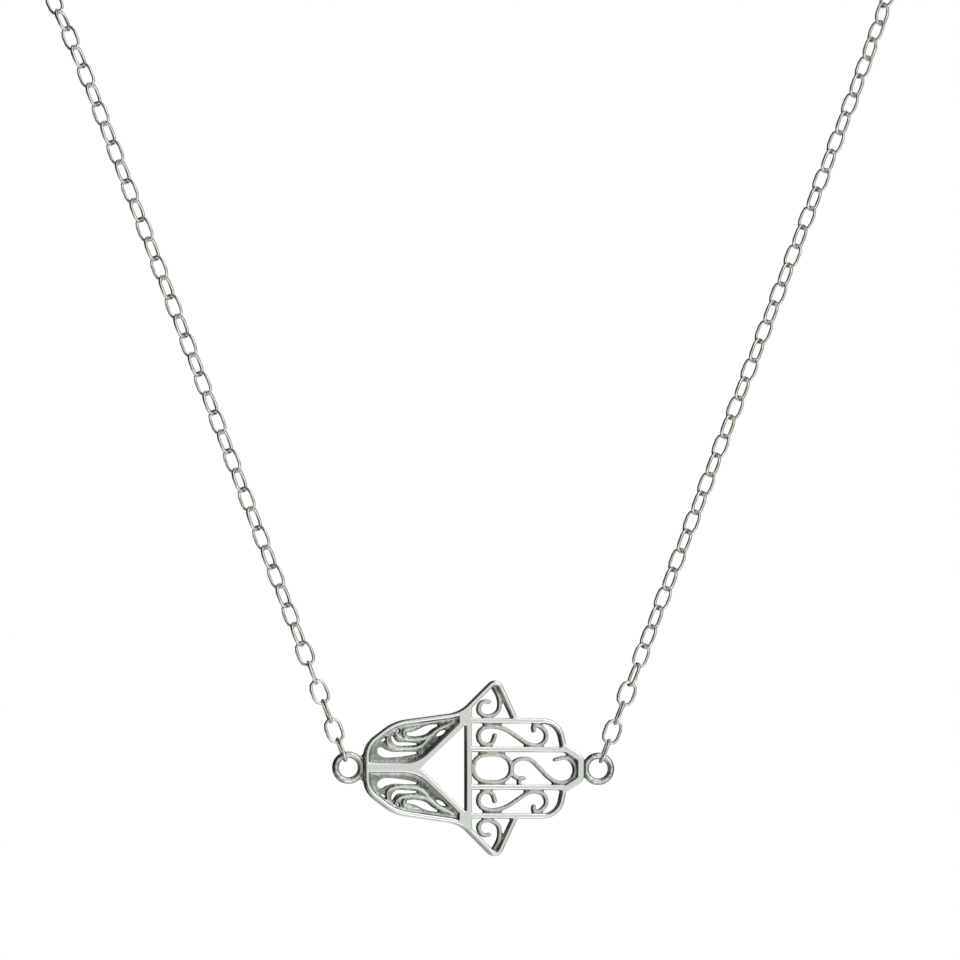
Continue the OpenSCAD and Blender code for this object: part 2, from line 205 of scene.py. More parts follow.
@dataclass(frozen=True)
class Bend:
    """A circle that a belt line bends round.

    Attributes:
        x: Place of its middle along the hand.
        z: Place of its middle across the hand.
        radius: Radius of the bend.
        turn: Way in which the line bends.
    """

    x: float
    z: float
    radius: float
    turn: Turn

    @property
    def signed(self) -> float:
        """Radius, negative for a turn to the right."""
        return self.radius * self.turn.value

    def at(self, heading: float) -> Vector:
        """Point at which the line has the given heading."""
        r = self.signed
        return flat(self.x + r * math.sin(heading), self.z - r * math.cos(heading))

    def heading_to(self, other: "Bend") -> float:
        """Heading of the straight run from this bend to the next one."""
        dx, dz = other.x - self.x, other.z - self.z
        return math.atan2(dz, dx) - math.asin((other.signed - self.signed) / math.hypot(dx, dz))

    def arc(self, start: float, end: float, step: float) -> list[Vector]:
        """Lays points along the bend.

        Args:
            start: Heading at which the line meets the bend, in radians.
            end: Heading at which it leaves.
            step: Largest angle between two points.

        Returns:
            The points in order.
        """
        sweep = (end - start) * self.turn.value % FULL_TURN
        sweep = 0.0 if FULL_TURN - sweep < step * TURN_SLACK else sweep * self.turn.value
        count = max(1, math.ceil(abs(sweep) / step))
        return [self.at(start + sweep * i / count) for i in range(count + 1)]


def belt(bends: Sequence[Bend], start: float, end: float, step: float) -> list[Vector]:
    """Line that runs tangent from bend to bend, as a strap runs round pulleys.

    Args:
        bends: The bends in order.
        start: Heading at the line's start, in radians.
        end: Heading at its end.
        step: Largest angle between two points of a bend.

    Returns:
        The points of the line.
    """
    runs = [start, *(a.heading_to(b) for a, b in pairwise(bends)), end]
    arcs = (bend.arc(a, b, step) for bend, a, b in zip(bends, runs, runs[1:]))
    return [point for arc in arcs for point in arc]


def round_end(slat: Slat, way: int, steps: int) -> list[Slat]:
    """Rounds off the end of a band.

    Args:
        slat: Middle, width and leftward direction of the band at its end.
        way: 1 at the band's end, -1 at its start.
        steps: Steps in which it narrows.

    Returns:
        The slats beyond the end, from the band outwards.
    """
    point, width, side = slat
    onward = flat(side.z, -side.x) * way
    # The half step keeps the outermost slat from closing to a point.
    angles = [QUARTER * i / (steps + 0.5) for i in range(1, steps + 1)]
    return [
        (point + onward * width / 2 * math.sin(angle), width * math.cos(angle), side)
        for angle in angles
    ]


@dataclass
class Band:
    """A strip of metal in the plate's plane.

    Attributes:
        pairs: Its left and right edge points, in order along the strip.
        depth: Its thickness from front to back.
        section: Its cross-section.
    """

    pairs: list[Pair]
    depth: float
    section: Section = Section.FLAT

    @classmethod
    def along(
        cls,
        line: Sequence[Vector],
        widths: Sequence[float],
        depth: float,
        section: Section = Section.FLAT,
        end_steps: int = 4,
    ) -> "Band":
        """Band of given widths along a middle line, with round ends.

        Args:
            line: Points of the middle line.
            widths: Width at each of them.
            depth: Thickness from front to back.
            section: Cross-section.
            end_steps: Steps in each round end.

        Returns:
            The band.
        """
        slats = [(line[i], width, across(line, i)) for i, width in enumerate(widths)]
        head = reversed(round_end(slats[0], -1, end_steps))
        slats = [*head, *slats, *round_end(slats[-1], 1, end_steps)]
        return cls([(p + side * w / 2, p - side * w / 2) for p, w, side in slats], depth, section)

    @classmethod
    def even(
        cls, line: Sequence[Vector], width: float, depth: float, section: Section = Section.FLAT
    ) -> "Band":
        """Band of one width along a middle line, with round ends."""
        return cls.along(line, [width] * len(line), depth, section)

    def mirrored(self) -> "Band":
        """The same band on the other side of the hand's middle."""
        swapped = [(flat(b.x, -b.z), flat(a.x, -a.z)) for a, b in self.pairs]
        return Band(swapped, self.depth, self.section)

    def seat(self, pair: Pair) -> Matrix:
        """Seats the band's section at one pair of edge points.

        Args:
            pair: The left and the right edge point.

        Returns:
            The matrix from a unit square to the section.
        """
        wide = pair[1] - pair[0]
        through = Vector((0.0, self.depth, 0.0))
        onward = wide.cross(through).normalized()
        seat = Matrix((wide, through, onward)).transposed().to_4x4()
        seat.translation = (pair[0] + pair[1]) / 2
        return seat

    def add_to(self, metal: bmesh.types.BMesh) -> None:
        """Sweeps the section along the band and adds the closed solid to a mesh.

        Args:
            metal: Mesh that takes the solid.
        """
        own = bmesh.new()
        # The size is half the edge, so this is the unit square.
        bmesh.ops.create_grid(own, x_segments=1, y_segments=1, size=0.5)
        if self.section is not Section.FLAT:
            bmesh.ops.bevel(
                own, geom=own.verts[:], affect="VERTICES", offset=self.section.value,
                segments=3, profile=0.5, material=-1,
            )
        seats = [self.seat(pair) for pair in self.pairs]
        cap = own.faces[:][0]
        bmesh.ops.transform(own, matrix=seats[0], verts=own.verts)
        hidden = []
        for here, there in pairwise(seats):
            made = bmesh.ops.extrude_face_region(own, geom=[cap])["geom"]
            moved = of_kind(made, bmesh.types.BMVert)
            bmesh.ops.transform(own, matrix=there @ here.inverted(), verts=moved)
            hidden.append(cap)
            cap = of_kind(made, bmesh.types.BMFace)[0]
        bmesh.ops.delete(own, geom=hidden[1:], context="FACES_ONLY")
        bmesh.ops.recalc_face_normals(own, faces=own.faces)
        join(metal, own)


def join(metal: bmesh.types.BMesh, part: bmesh.types.BMesh) -> None:
    """Moves a part's faces into a mesh and frees the part.

    Args:
        metal: Mesh that takes the faces.
        part: Mesh that is used up.
    """
    carrier = bpy.data.meshes.new("carrier")
    part.to_mesh(carrier)
    part.free()
    metal.from_mesh(carrier)
    bpy.data.meshes.remove(carrier)


def linked(name: str, data: bpy.types.ID) -> bpy.types.Object:
    """Makes an object that is part of the scene.

    Args:
        name: Name of the object.
        data: Its mesh, lamp or camera.

    Returns:
        The new object.
    """
    made = bpy.data.objects.new(name, data)
    bpy.context.scene.collection.objects.link(made)
    return made


def as_object(name: str, metal: bmesh.types.BMesh) -> bpy.types.Object:
    """Makes an object of a mesh and frees the mesh's working copy.

    Args:
        name: Name of the object.
        metal: Mesh that is used up.

    Returns:
        The new object, linked to the scene.
    """
    mesh = bpy.data.meshes.new(name)
    metal.to_mesh(mesh)
    metal.free()
    return linked(name, mesh)


def of_kind(parts: Iterable[Any], kind: type) -> list[Any]:
    """Those parts of an operator's result that are of one kind."""
    return [part for part in parts if isinstance(part, kind)]


def applied(piece: bpy.types.Object) -> bpy.types.Object:
    """Makes an object's modifiers part of its mesh.

    Args:
        piece: Object with modifiers.

    Returns:
        The same object.
    """
    graph = bpy.context.evaluated_depsgraph_get()
    mesh = bpy.data.meshes.new_from_object(piece.evaluated_get(graph))
    old = piece.data
    piece.modifiers.clear()
    piece.data = mesh
    bpy.data.meshes.remove(old)
    mesh.name = piece.name
    return piece


@dataclass(frozen=True)
class Casting:
    """How overlapping parts are fused into one cast body with softened edges.

    Attributes:
        grain: Edge of the cells in which the parts are fused.
        polish: Rounds of smoothing, which wear down the edges.
        keep: Share of the faces that is kept, mostly where the surface bends.
    """

    grain: float
    polish: int
    keep: float

    def fuse(self, piece: bpy.types.Object) -> bpy.types.Object:
        """Fuses the loose shells of an object into one body.

        Args:
            piece: Object whose shells overlap.

        Returns:
            The same object.
        """
        remesh = piece.modifiers.new("fuse", "REMESH")
        remesh.mode = "VOXEL"
        remesh.voxel_size = self.grain
        remesh.use_smooth_shade = True
        worn = piece.modifiers.new("polish", "SMOOTH")
        worn.factor = 0.5
        worn.iterations = self.polish
        if self.keep < 1:
            thin = piece.modifiers.new("thin", "DECIMATE")
            thin.ratio = self.keep
        return applied(piece)


@dataclass(frozen=True)
class HandShape:
    """Proportions of the hand's upper half.

    A size whose name ends in x is a share of the hand's half length, and any other one is a share
    of its half width.

    Attributes:
        wrist_z: Height of the middle of the bend at the wrist.
        wrist_r: Radius of that bend.
        cheek_in: Distance from the wrist's end to the middle of the wide bend beside it.
        cheek_r: Radius of that bend.
        hollow_x: Middle of the hollow bend between wrist and thumb, at the full half width.
        hollow_r: Radius of that bend.
        thumb_x: Middle of the bend round the thumb tip.
        thumb_r: Radius of that bend.
        root_x: Middle of the bend between thumb and fingers.
        root_z: Its height.
        root_r: Its radius.
        finger_x: Middle of the bend round the finger's end, where the outer bar ends too.
        finger_z: Its height.
        finger_r: Its radius.
        tip_z: Height of the bend at the middle fingertip.
        tip_r: Radius of that bend.
        shoulder_in: Distance from that bend back to the one at the fingertip's shoulder.
        shoulder_z: Height of the shoulder's bend.
        shoulder_r: Radius of that bend.
        upright_x: Place of the upright bar.
        web_x: Place where the solid corner beside the thumb starts.
        apex_x: Corner of the palm triangle at the wrist bar.
        corner_z: Height of the palm triangle's upper corner.
        outer_bar_z: Height of the outer finger bar.
        inner_bar_z: Height of the inner finger bar.
        inner_bar_x: Place where the inner finger bar ends.
    """

    wrist_z: float = 0.123
    wrist_r: float = 0.268
    cheek_in: float = 0.565
    cheek_r: float = 0.527
    hollow_x: float = -0.272
    hollow_r: float = 0.414
    thumb_x: float = 0.19
    thumb_r: float = 0.064
    root_x: float = 0.428
    root_z: float = 0.636
    root_r: float = 0.095
    finger_x: float = 0.628
    finger_z: float = 0.321
    finger_r: float = 0.22
    tip_z: float = 0.074
    tip_r: float = 0.08
    shoulder_in: float = 0.109
    shoulder_z: float = 0.209
    shoulder_r: float = 0.025
    upright_x: float = -0.05
    web_x: float = -0.142
    apex_x: float = -0.49
    corner_z: float = 0.5
    outer_bar_z: float = 0.541
    inner_bar_z: float = 0.215
    inner_bar_x: float = 0.82


@dataclass(frozen=True)
class HandPlate:
    """The cast hand: rim, bars, scrollwork, leaf work and end rings.

    Attributes:
        centre: Middle of the plate in the frame, in metres.
        length: Length of the hand, from the wrist rim to the middle fingertip.
        width: Width of the hand, from thumb tip to thumb tip.
        depth: Thickness of the rim and bars.
        rim_w: Width of the rim band.
        tip_rim_w: Width of the rim band round the middle fingertip.
        bar_w: Width of the bars between the fingers.
        palm_bar_w: Width of the upright bar and of the slanted bars.
        wrist_bar_w: Width of the bar along the wrist.
        wrist_flare_r: Radius of the hollow curve where the wrist bar spreads.
        scroll_depth: Thickness of the scrolls.
        scroll_w: Width of the scrolls.
        solder_gap: Widest gap beside a scroll that solder fills.
        thumb_gap: The same in the thumbs.
        leaf_depth: Thickness of the leaf work between its veins.
        border_w: Width of the raised border that shows along the leaf work.
        ring_d: Outer diameter of the end rings.
        ring_wire_d: Wire diameter of the end rings.
        ring_sink: How far each end ring sits into the rim.
        solder_depth: Thickness of the solder at the rings.
        solder_r: Radius of the hollow solder corners beside the rings.
        solder_reach: Share of the ring's wire that the solder covers beyond the wire's middle.
        palm_inset: How far inside the rim's middle line the wrist bar starts.
        leaf_inset: The same for the leaf work.
        meeting: Distance of two middle lines under which scroll and bar already meet.
        slice_step: Largest distance between two slices of the palm and of the leaf work.
        tip_heading: Heading at which the rim's line ends behind the middle fingertip.
        rim_step: Largest angle between two points in the rim's bends.
        tip_step: The same round the middle fingertip.
        shape: Proportions of the hand.
        bold_casting: How the rim and bars are fused.
        fine_casting: How the scrolls and the leaf work are fused.
        whole_casting: How the two are fused to each other.
    """

    centre: Vector
    length: float
    width: float
    depth: float
    rim_w: float = 0.5
    tip_rim_w: float = 0.62
    bar_w: float = 0.46
    palm_bar_w: float = 0.52
    wrist_bar_w: float = 0.84
    wrist_flare_r: float = 3.4
    scroll_depth: float = 0.9
    scroll_w: float = 0.37
    solder_gap: float = 0.3
    thumb_gap: float = 0.12
    leaf_depth: float = 0.66
    border_w: float = 0.22
    ring_d: float = 3.0
    ring_wire_d: float = 0.64
    ring_sink: float = 0.1
    solder_depth: float = 0.34
    solder_r: float = 0.4
    solder_reach: float = 0.3
    palm_inset: float = 0.05
    leaf_inset: float = 0.02
    meeting: float = 0.05
    slice_step: float = 0.12
    tip_heading: float = math.radians(-75)
    rim_step: float = math.radians(3)
    tip_step: float = math.radians(4)
    shape: HandShape = HandShape()
    bold_casting: Casting = Casting(grain=0.053, polish=12, keep=1.0)
    fine_casting: Casting = Casting(grain=0.053, polish=6, keep=1.0)
    whole_casting: Casting = Casting(grain=0.053, polish=2, keep=0.24)

    @classmethod
    def in_box(cls, box: Box) -> "HandPlate":
        """Sizes the plate so that it fills the box of its solid.

        Args:
            box: Lowest and highest corner of the solid, in metres.

        Returns:
            The plate.
        """
        low, high = box
        size = (high - low) / MM
        return cls((low + high) / 2, size.x - 2 * (cls.ring_d - cls.ring_sink), size.z, size.y)

    @property
    def half_l(self) -> float:
        """Half the length of the hand."""
        return self.length / 2

    @property
    def half_w(self) -> float:
        """Half the width of the hand."""
        return self.width / 2

    @property
    def ring_x(self) -> float:
        """Place of the end rings along the hand."""
        return self.half_l + self.ring_d / 2 - self.ring_sink

    @property
    def upright_x(self) -> float:
        """Place of the upright bar along the hand."""
        return self.shape.upright_x * self.half_l

    @property
    def web_x(self) -> float:
        """Place along the hand where the solid corners beside the thumbs start."""
        return self.shape.web_x * self.half_l

    @property
    def apex(self) -> Vector:
        """Corner of the palm triangle at the wrist bar."""
        return flat(self.shape.apex_x * self.half_l, 0.0)

    @property
    def palm_corner(self) -> Vector:
        """Upper corner of the palm triangle."""
        height = self.shape.corner_z * self.half_w
        return flat(self.upright_x - self.palm_bar_w / 2, height)

    def rim_line(self) -> list[Vector]:
        """Middle line of the rim's upper half.

        Returns:
            Its points, from the wrist to behind the middle fingertip.
        """
        half_l, half_w, shape = self.half_l, self.half_w, self.shape
        wrist_r, thumb_r, finger_r = (
            share * half_w for share in (shape.wrist_r, shape.thumb_r, shape.finger_r)
        )
        bends = (
            Bend(self.rim_w / 2 + wrist_r - half_l, shape.wrist_z * half_w, wrist_r, Turn.RIGHT),
            Bend(shape.cheek_in * half_w - half_l, 0.0, shape.cheek_r * half_w, Turn.RIGHT),
            Bend(shape.hollow_x * half_l, half_w, shape.hollow_r * half_w, Turn.LEFT),
            Bend(shape.thumb_x * half_l, half_w - self.rim_w / 2 - thumb_r, thumb_r, Turn.RIGHT),
            Bend(shape.root_x * half_l, shape.root_z * half_w, shape.root_r * half_w, Turn.LEFT),
            Bend(shape.finger_x * half_l, shape.finger_z * half_w, finger_r, Turn.RIGHT),
        )
        line = belt(bends, QUARTER, self.tip_heading, self.rim_step)
        return [flat(line[0].x, 0.0), *line, self.tip_line()[0]]

    def tip_line(self) -> list[Vector]:
        """Middle line of the rim round the upper half of the middle fingertip.

        Returns:
            Its points, from the fingertip's root to its end.
        """
        half_w, shape = self.half_w, self.shape
        tip_r = shape.tip_r * half_w
        tip_x = self.half_l - self.tip_rim_w / 2 - tip_r
        shoulder_x = tip_x - shape.shoulder_in * half_w
        bends = (
            Bend(shoulder_x, shape.shoulder_z * half_w, shape.shoulder_r * half_w, Turn.RIGHT),
            Bend(tip_x, shape.tip_z * half_w, tip_r, Turn.RIGHT),
        )
        line = belt(bends, 0.0, -QUARTER, self.tip_step)
        return [*line, flat(line[-1].x, 0.0)]

    def rim_height(self, x: float) -> float:
        """Height of the rim's middle line."""
        return height_at(self.rim_line(), x)

    def slope_height(self, x: float) -> float:
        """Height of the palm triangle's slanted edge."""
        rise = self.palm_corner - self.apex
        return (x - self.apex.x) * rise.z / rise.x

    def palm_edge(self, x: float) -> float:
        """Outer edge of the wrist bar and of the slanted bar that it spreads into.

        Args:
            x: Place along the hand.

        Returns:
            The height of the edge there.
        """
        rise = self.palm_corner - self.apex
        slant = math.atan2(rise.z, rise.x)
        level = self.wrist_bar_w / 2
        slanted = self.slope_height(x) + self.palm_bar_w / math.cos(slant)
        crossing = self.apex.x + (level - self.palm_bar_w / math.cos(slant)) * rise.x / rise.z
        reach = self.wrist_flare_r * math.tan(slant / 2)
        if x <= crossing - reach:
            return level
        if x >= crossing + reach * math.cos(slant):
            return slanted
        past = x - (crossing - reach)
        return level + self.wrist_flare_r - math.sqrt(self.wrist_flare_r**2 - past**2)

    def slices(
        self, start: float, end: float, low: Height, high: Height, depth: float
    ) -> Band:
        """Band made of upright slices between two heights that depend on x.

        Args:
            start: Place of the first slice along the hand.
            end: Place of the last slice.
            low: The lower height at x.
            high: The upper height at x.
            depth: Thickness from front to back.

        Returns:
            The band.
        """
        count = math.ceil((end - start) / self.slice_step)
        places = [start + (end - start) * i / count for i in range(count + 1)]
        return Band([(flat(x, high(x)), flat(x, low(x))) for x in places], depth)

    def rim_bands(self) -> list[Band]:
        """Rim of the upper half.

        Returns:
            The band of the rim and that of the middle fingertip.
        """
        return [
            Band.even(self.rim_line(), self.rim_w, self.depth, Section.ROUNDED),
            Band.even(self.tip_line(), self.tip_rim_w, self.depth),
        ]

    def palm_bands(self) -> list[Band]:
        """Upper half of the wrist bar with its slanted bar, and the solid corner above it.

        Returns:
            The two bands.
        """
        overlap = self.wrist_bar_w / 4
        sill = self.palm_corner.z - self.bar_w / 4

        def inner(x: float) -> float:
            """Edge towards the palm triangle, run a little past the hand's middle."""
            return self.slope_height(x) if x > self.apex.x else -overlap

        def outer(x: float) -> float:
            """Edge towards the leaf work, stopped inside the rim."""
            return min(self.palm_edge(x), self.rim_height(x))

        start = self.palm_inset - self.half_l + self.rim_w / 2
        corner_end = self.upright_x + self.palm_bar_w / 2
        return [
            self.slices(start, self.upright_x, inner, outer, self.depth),
            self.slices(self.web_x, corner_end, lambda x: sill, self.rim_height, self.depth),
        ]

    def bar_lines(self) -> list[list[Vector]]:
        """Middle lines of the finger bars of the upper half.

        Returns:
            The line of the outer bar and that of the inner one.
        """
        shape = self.shape
        outer, inner = shape.outer_bar_z * self.half_w, shape.inner_bar_z * self.half_w
        return [
            [flat(self.upright_x, outer), flat(shape.finger_x * self.half_l, outer)],
            [flat(self.upright_x, inner), flat(shape.inner_bar_x * self.half_l, inner)],
        ]

    def upright_band(self) -> Band:
        """The upright bar between palm and fingers.

        Returns:
            The band, from its lower end to its upper one.
        """
        reach = self.bar_lines()[0][0].z
        line = [flat(self.upright_x, -reach), flat(self.upright_x, reach)]
        return Band.even(line, self.palm_bar_w, self.depth)

    def scroll(self, rows: Rows, steps: int = 6) -> list[Vector]:
        """Middle line of a scroll from its table of shares."""
        sized = (Vector((row[0] * self.half_l, row[1] * self.half_w, 0.0)) for row in rows)
        return [flat(point.x, point.y) for point in smooth_rows(sized, steps)]

    def scroll_band(self, line: Sequence[Vector]) -> Band:
        """Scroll along a middle line."""
        return Band.even(line, self.scroll_w, self.scroll_depth, Section.EASED)

    def solder_pads(
        self, line: Sequence[Vector], holders: Iterable[Sequence[Vector]], gap: float
    ) -> list[Band]:
        """Solder that fills the narrow gaps between a scroll and the bars or rim beside it.

        Args:
            line: Middle line of the scroll.
            holders: Middle lines of the bars and the rim.
            gap: Widest gap that is filled.

        Returns:
            A band for each stretch that is soldered.
        """
        reach = (self.scroll_w + self.bar_w) / 2 + gap
        pads: list[Band] = []
        for holder in holders:
            run: list[Pair] = []
            for point in [*line, None]:
                spot = nearest_on(holder, point) if point is not None else None
                if spot is not None and self.meeting < (spot - point).length < reach:
                    run.append((spot, point))
                elif run:
                    if len(run) > 1:
                        pads.append(Band(run, self.leaf_depth))
                    run = []
        return pads

    def leaf_strokes(
        self, table: Iterable[Rows], depth: float, section: Section, steps: int = 5
    ) -> list[Band]:
        """Openings or veins of the leaf work of the upper half.

        Args:
            table: Rows of each stroke, as shares.
            depth: Thickness from front to back.
            section: Cross-section of the strokes.
            steps: Pieces between one row and the next.

        Returns:
            A band for each stroke.
        """
        bands = []
        for rows in table:
            shares = self.half_l, self.half_w, self.half_w
            sized = (Vector([value * share for value, share in zip(row, shares)]) for row in rows)
            fine = smooth_rows(sized, steps)
            line = [flat(row.x, row.y) for row in fine]
            bands.append(Band.along(line, [row.z for row in fine], depth, section))
        return bands

    def leaf_borders(self, steps: int = 60) -> list[Band]:
        """Raised borders of the leaf work of the upper half.

        Args:
            steps: Pieces of the border along the bars.

        Returns:
            The border along the bars and the one along the rim.
        """
        rim = self.rim_line()
        run = self.apex.x * 2 - self.web_x
        places = [self.web_x + run * i / steps for i in range(steps + 1)]
        bar_side = [flat(x, self.palm_edge(x)) for x in reversed(places)]
        wrist = [point for point in rim if point.x < self.web_x]
        rim_side = [point - across(rim, rim.index(point)) * self.rim_w / 2 for point in wrist]
        return [
            Band.even(line, 2 * self.border_w, self.scroll_depth, Section.DOMED)
            for line in (bar_side, rim_side)
        ]

    def leaf_plate(self) -> bpy.types.Object:
        """Plate of the leaf work in both halves, with its openings cut through.

        Returns:
            The pierced plate, flat and in millimetres.
        """
        seat = self.palm_bar_w / 4

        def inner(x: float) -> float:
            """Edge inside the wrist bar and the slanted bar."""
            return max(self.slope_height(x) + 2 * seat, seat)

        start = self.rim_w / 2 + self.leaf_inset - self.half_l
        end = self.web_x + self.rim_w / 2
        plate, tools = bmesh.new(), bmesh.new()
        room = self.slices(start, end, inner, self.rim_height, self.leaf_depth)
        for band in (room, room.mirrored()):
            band.add_to(plate)
        for band in self.leaf_strokes(LEAF_OPENINGS, self.depth, Section.FLAT):
            band.add_to(tools)
            band.mirrored().add_to(tools)
        piece, cutter = as_object("leaf_plate", plate), as_object("leaf_cutter", tools)
        cut = piece.modifiers.new("pierce", "BOOLEAN")
        cut.operation = "DIFFERENCE"
        cut.solver = "MANIFOLD"
        cut.object = cutter
        applied(piece)
        bpy.data.objects.remove(cutter)
        return piece

    def ring_solder(self, wall: float, steps: int = 40) -> Band:
        """Solder that fills the corners between an end ring and the rim.

        Args:
            wall: How far inside the end of the hand the rim's outer wall lies beside the ring.
            steps: Slices of the solder.

        Returns:
            A band of level slices that leaves the ring's hole open.
        """
        foot, middle_r = self.half_l - wall, (self.ring_d - self.ring_wire_d) / 2
        reach, fillet = middle_r + self.ring_wire_d * self.solder_reach, self.solder_r
        rise = math.sqrt((reach + fillet) ** 2 - (self.ring_x - foot - fillet) ** 2)

        def outline(z: float) -> float:
            """Place of the solder's edge at a height.

            Args:
                z: The height.

            Returns:
                The place along the hand.
            """
            if abs(z) < rise - fillet:
                return self.ring_x - math.sqrt(max(middle_r**2 - z * z, 0.0))
            return foot + fillet - math.sqrt(max(fillet**2 - (rise - abs(z)) ** 2, 0.0))

        heights = [rise * (1 - 2 * i / steps) for i in range(steps + 1)]
        start = foot - self.rim_w / 2
        return Band([(flat(outline(z), z), flat(start, z)) for z in heights], self.solder_depth)

    def end_ring(self, side: int) -> bmesh.types.BMesh:
        """End ring on one side of the plate, with its solder.

        Args:
            side: 1 at the fingertips, -1 at the wrist.

        Returns:
            The mesh of the ring.
        """
        ring = bmesh.new()
        seat = Matrix.Translation(flat((self.ring_d - self.ring_wire_d) / 2, 0.0))
        bmesh.ops.create_circle(ring, segments=16, radius=self.ring_wire_d / 2, matrix=seat)
        bmesh.ops.spin(
            ring, geom=[*ring.verts, *ring.edges], cent=Vector(), axis=Vector((0, 1, 0)),
            angle=FULL_TURN, steps=64, use_merge=True,
        )
        bmesh.ops.translate(ring, verts=ring.verts, vec=flat(self.ring_x, 0.0))
        self.ring_solder(0.0 if side < 0 else self.tip_rim_w / 2).add_to(ring)
        if side < 0:
            bmesh.ops.scale(ring, verts=ring.verts, vec=Vector((-1, 1, 1)))
        bmesh.ops.recalc_face_normals(ring, faces=ring.faces)
        return ring

    def bold_part(self) -> bpy.types.Object:
        """Fuses the rim, the bars, the palm and the end rings.

        Returns:
            The fused part, flat and in millimetres.
        """
        upper = [
            *self.rim_bands(),
            *self.palm_bands(),
            *(Band.even(line, self.bar_w, self.depth) for line in self.bar_lines()),
        ]
        metal = bmesh.new()
        for band in [*upper, *(band.mirrored() for band in upper), self.upright_band()]:
            band.add_to(metal)
        for side in (-1, 1):
            join(metal, self.end_ring(side))
        return self.bold_casting.fuse(as_object("bold_part", metal))

    def fine_part(self) -> bpy.types.Object:
        """Fuses the scrolls, their solder and the leaf work.

        Returns:
            The fused part, flat and in millimetres.
        """
        rim, bars = self.rim_line(), self.bar_lines()
        roof = [*bars[1], *self.tip_line()]
        holders = [roof, [flat(point.x, -point.z) for point in roof]]
        thumb, finger = self.scroll(THUMB_SCROLL), self.scroll(FINGER_SCROLL)
        # The half of the thumb's spiral that rises along the rim to the thumb tip.
        thumb_rise = thumb[len(thumb) // 2:]
        upper = [
            self.scroll_band(thumb),
            self.scroll_band(finger),
            *self.solder_pads(thumb, [rim, bars[0]], self.thumb_gap),
            *self.solder_pads(thumb_rise, [rim], self.solder_gap),
            *self.solder_pads(finger, bars, self.solder_gap),
            *self.leaf_strokes(LEAF_VEINS, self.scroll_depth, Section.DOMED),
            *self.leaf_borders(),
        ]
        whole = [self.scroll_band(self.scroll(SCROLL_FOOT, 1))]
        for rows in (PALM_OVAL, MIDDLE_SCROLL):
            line = self.scroll(rows)
            whole += [self.scroll_band(line), *self.solder_pads(line, holders, self.solder_gap)]
        metal = bmesh.new()
        for band in [*upper, *(band.mirrored() for band in upper), *whole]:
            band.add_to(metal)
        leaf = self.leaf_plate()
        metal.from_mesh(leaf.data)
        bpy.data.objects.remove(leaf)
        return self.fine_casting.fuse(as_object("fine_part", metal))

    def build(self) -> bpy.types.Object:
        """Models the whole plate as one cast body.

        Returns:
            The plate in its place in the frame.
        """
        metal = bmesh.new()
        for part in (self.bold_part(), self.fine_part()):
            metal.from_mesh(part.data)
            bpy.data.objects.remove(part)
        piece = self.whole_casting.fuse(as_object("hand_plate", metal))
        piece.data.transform(Matrix.Translation(self.centre) @ Matrix.Scale(MM, 4))
        return piece


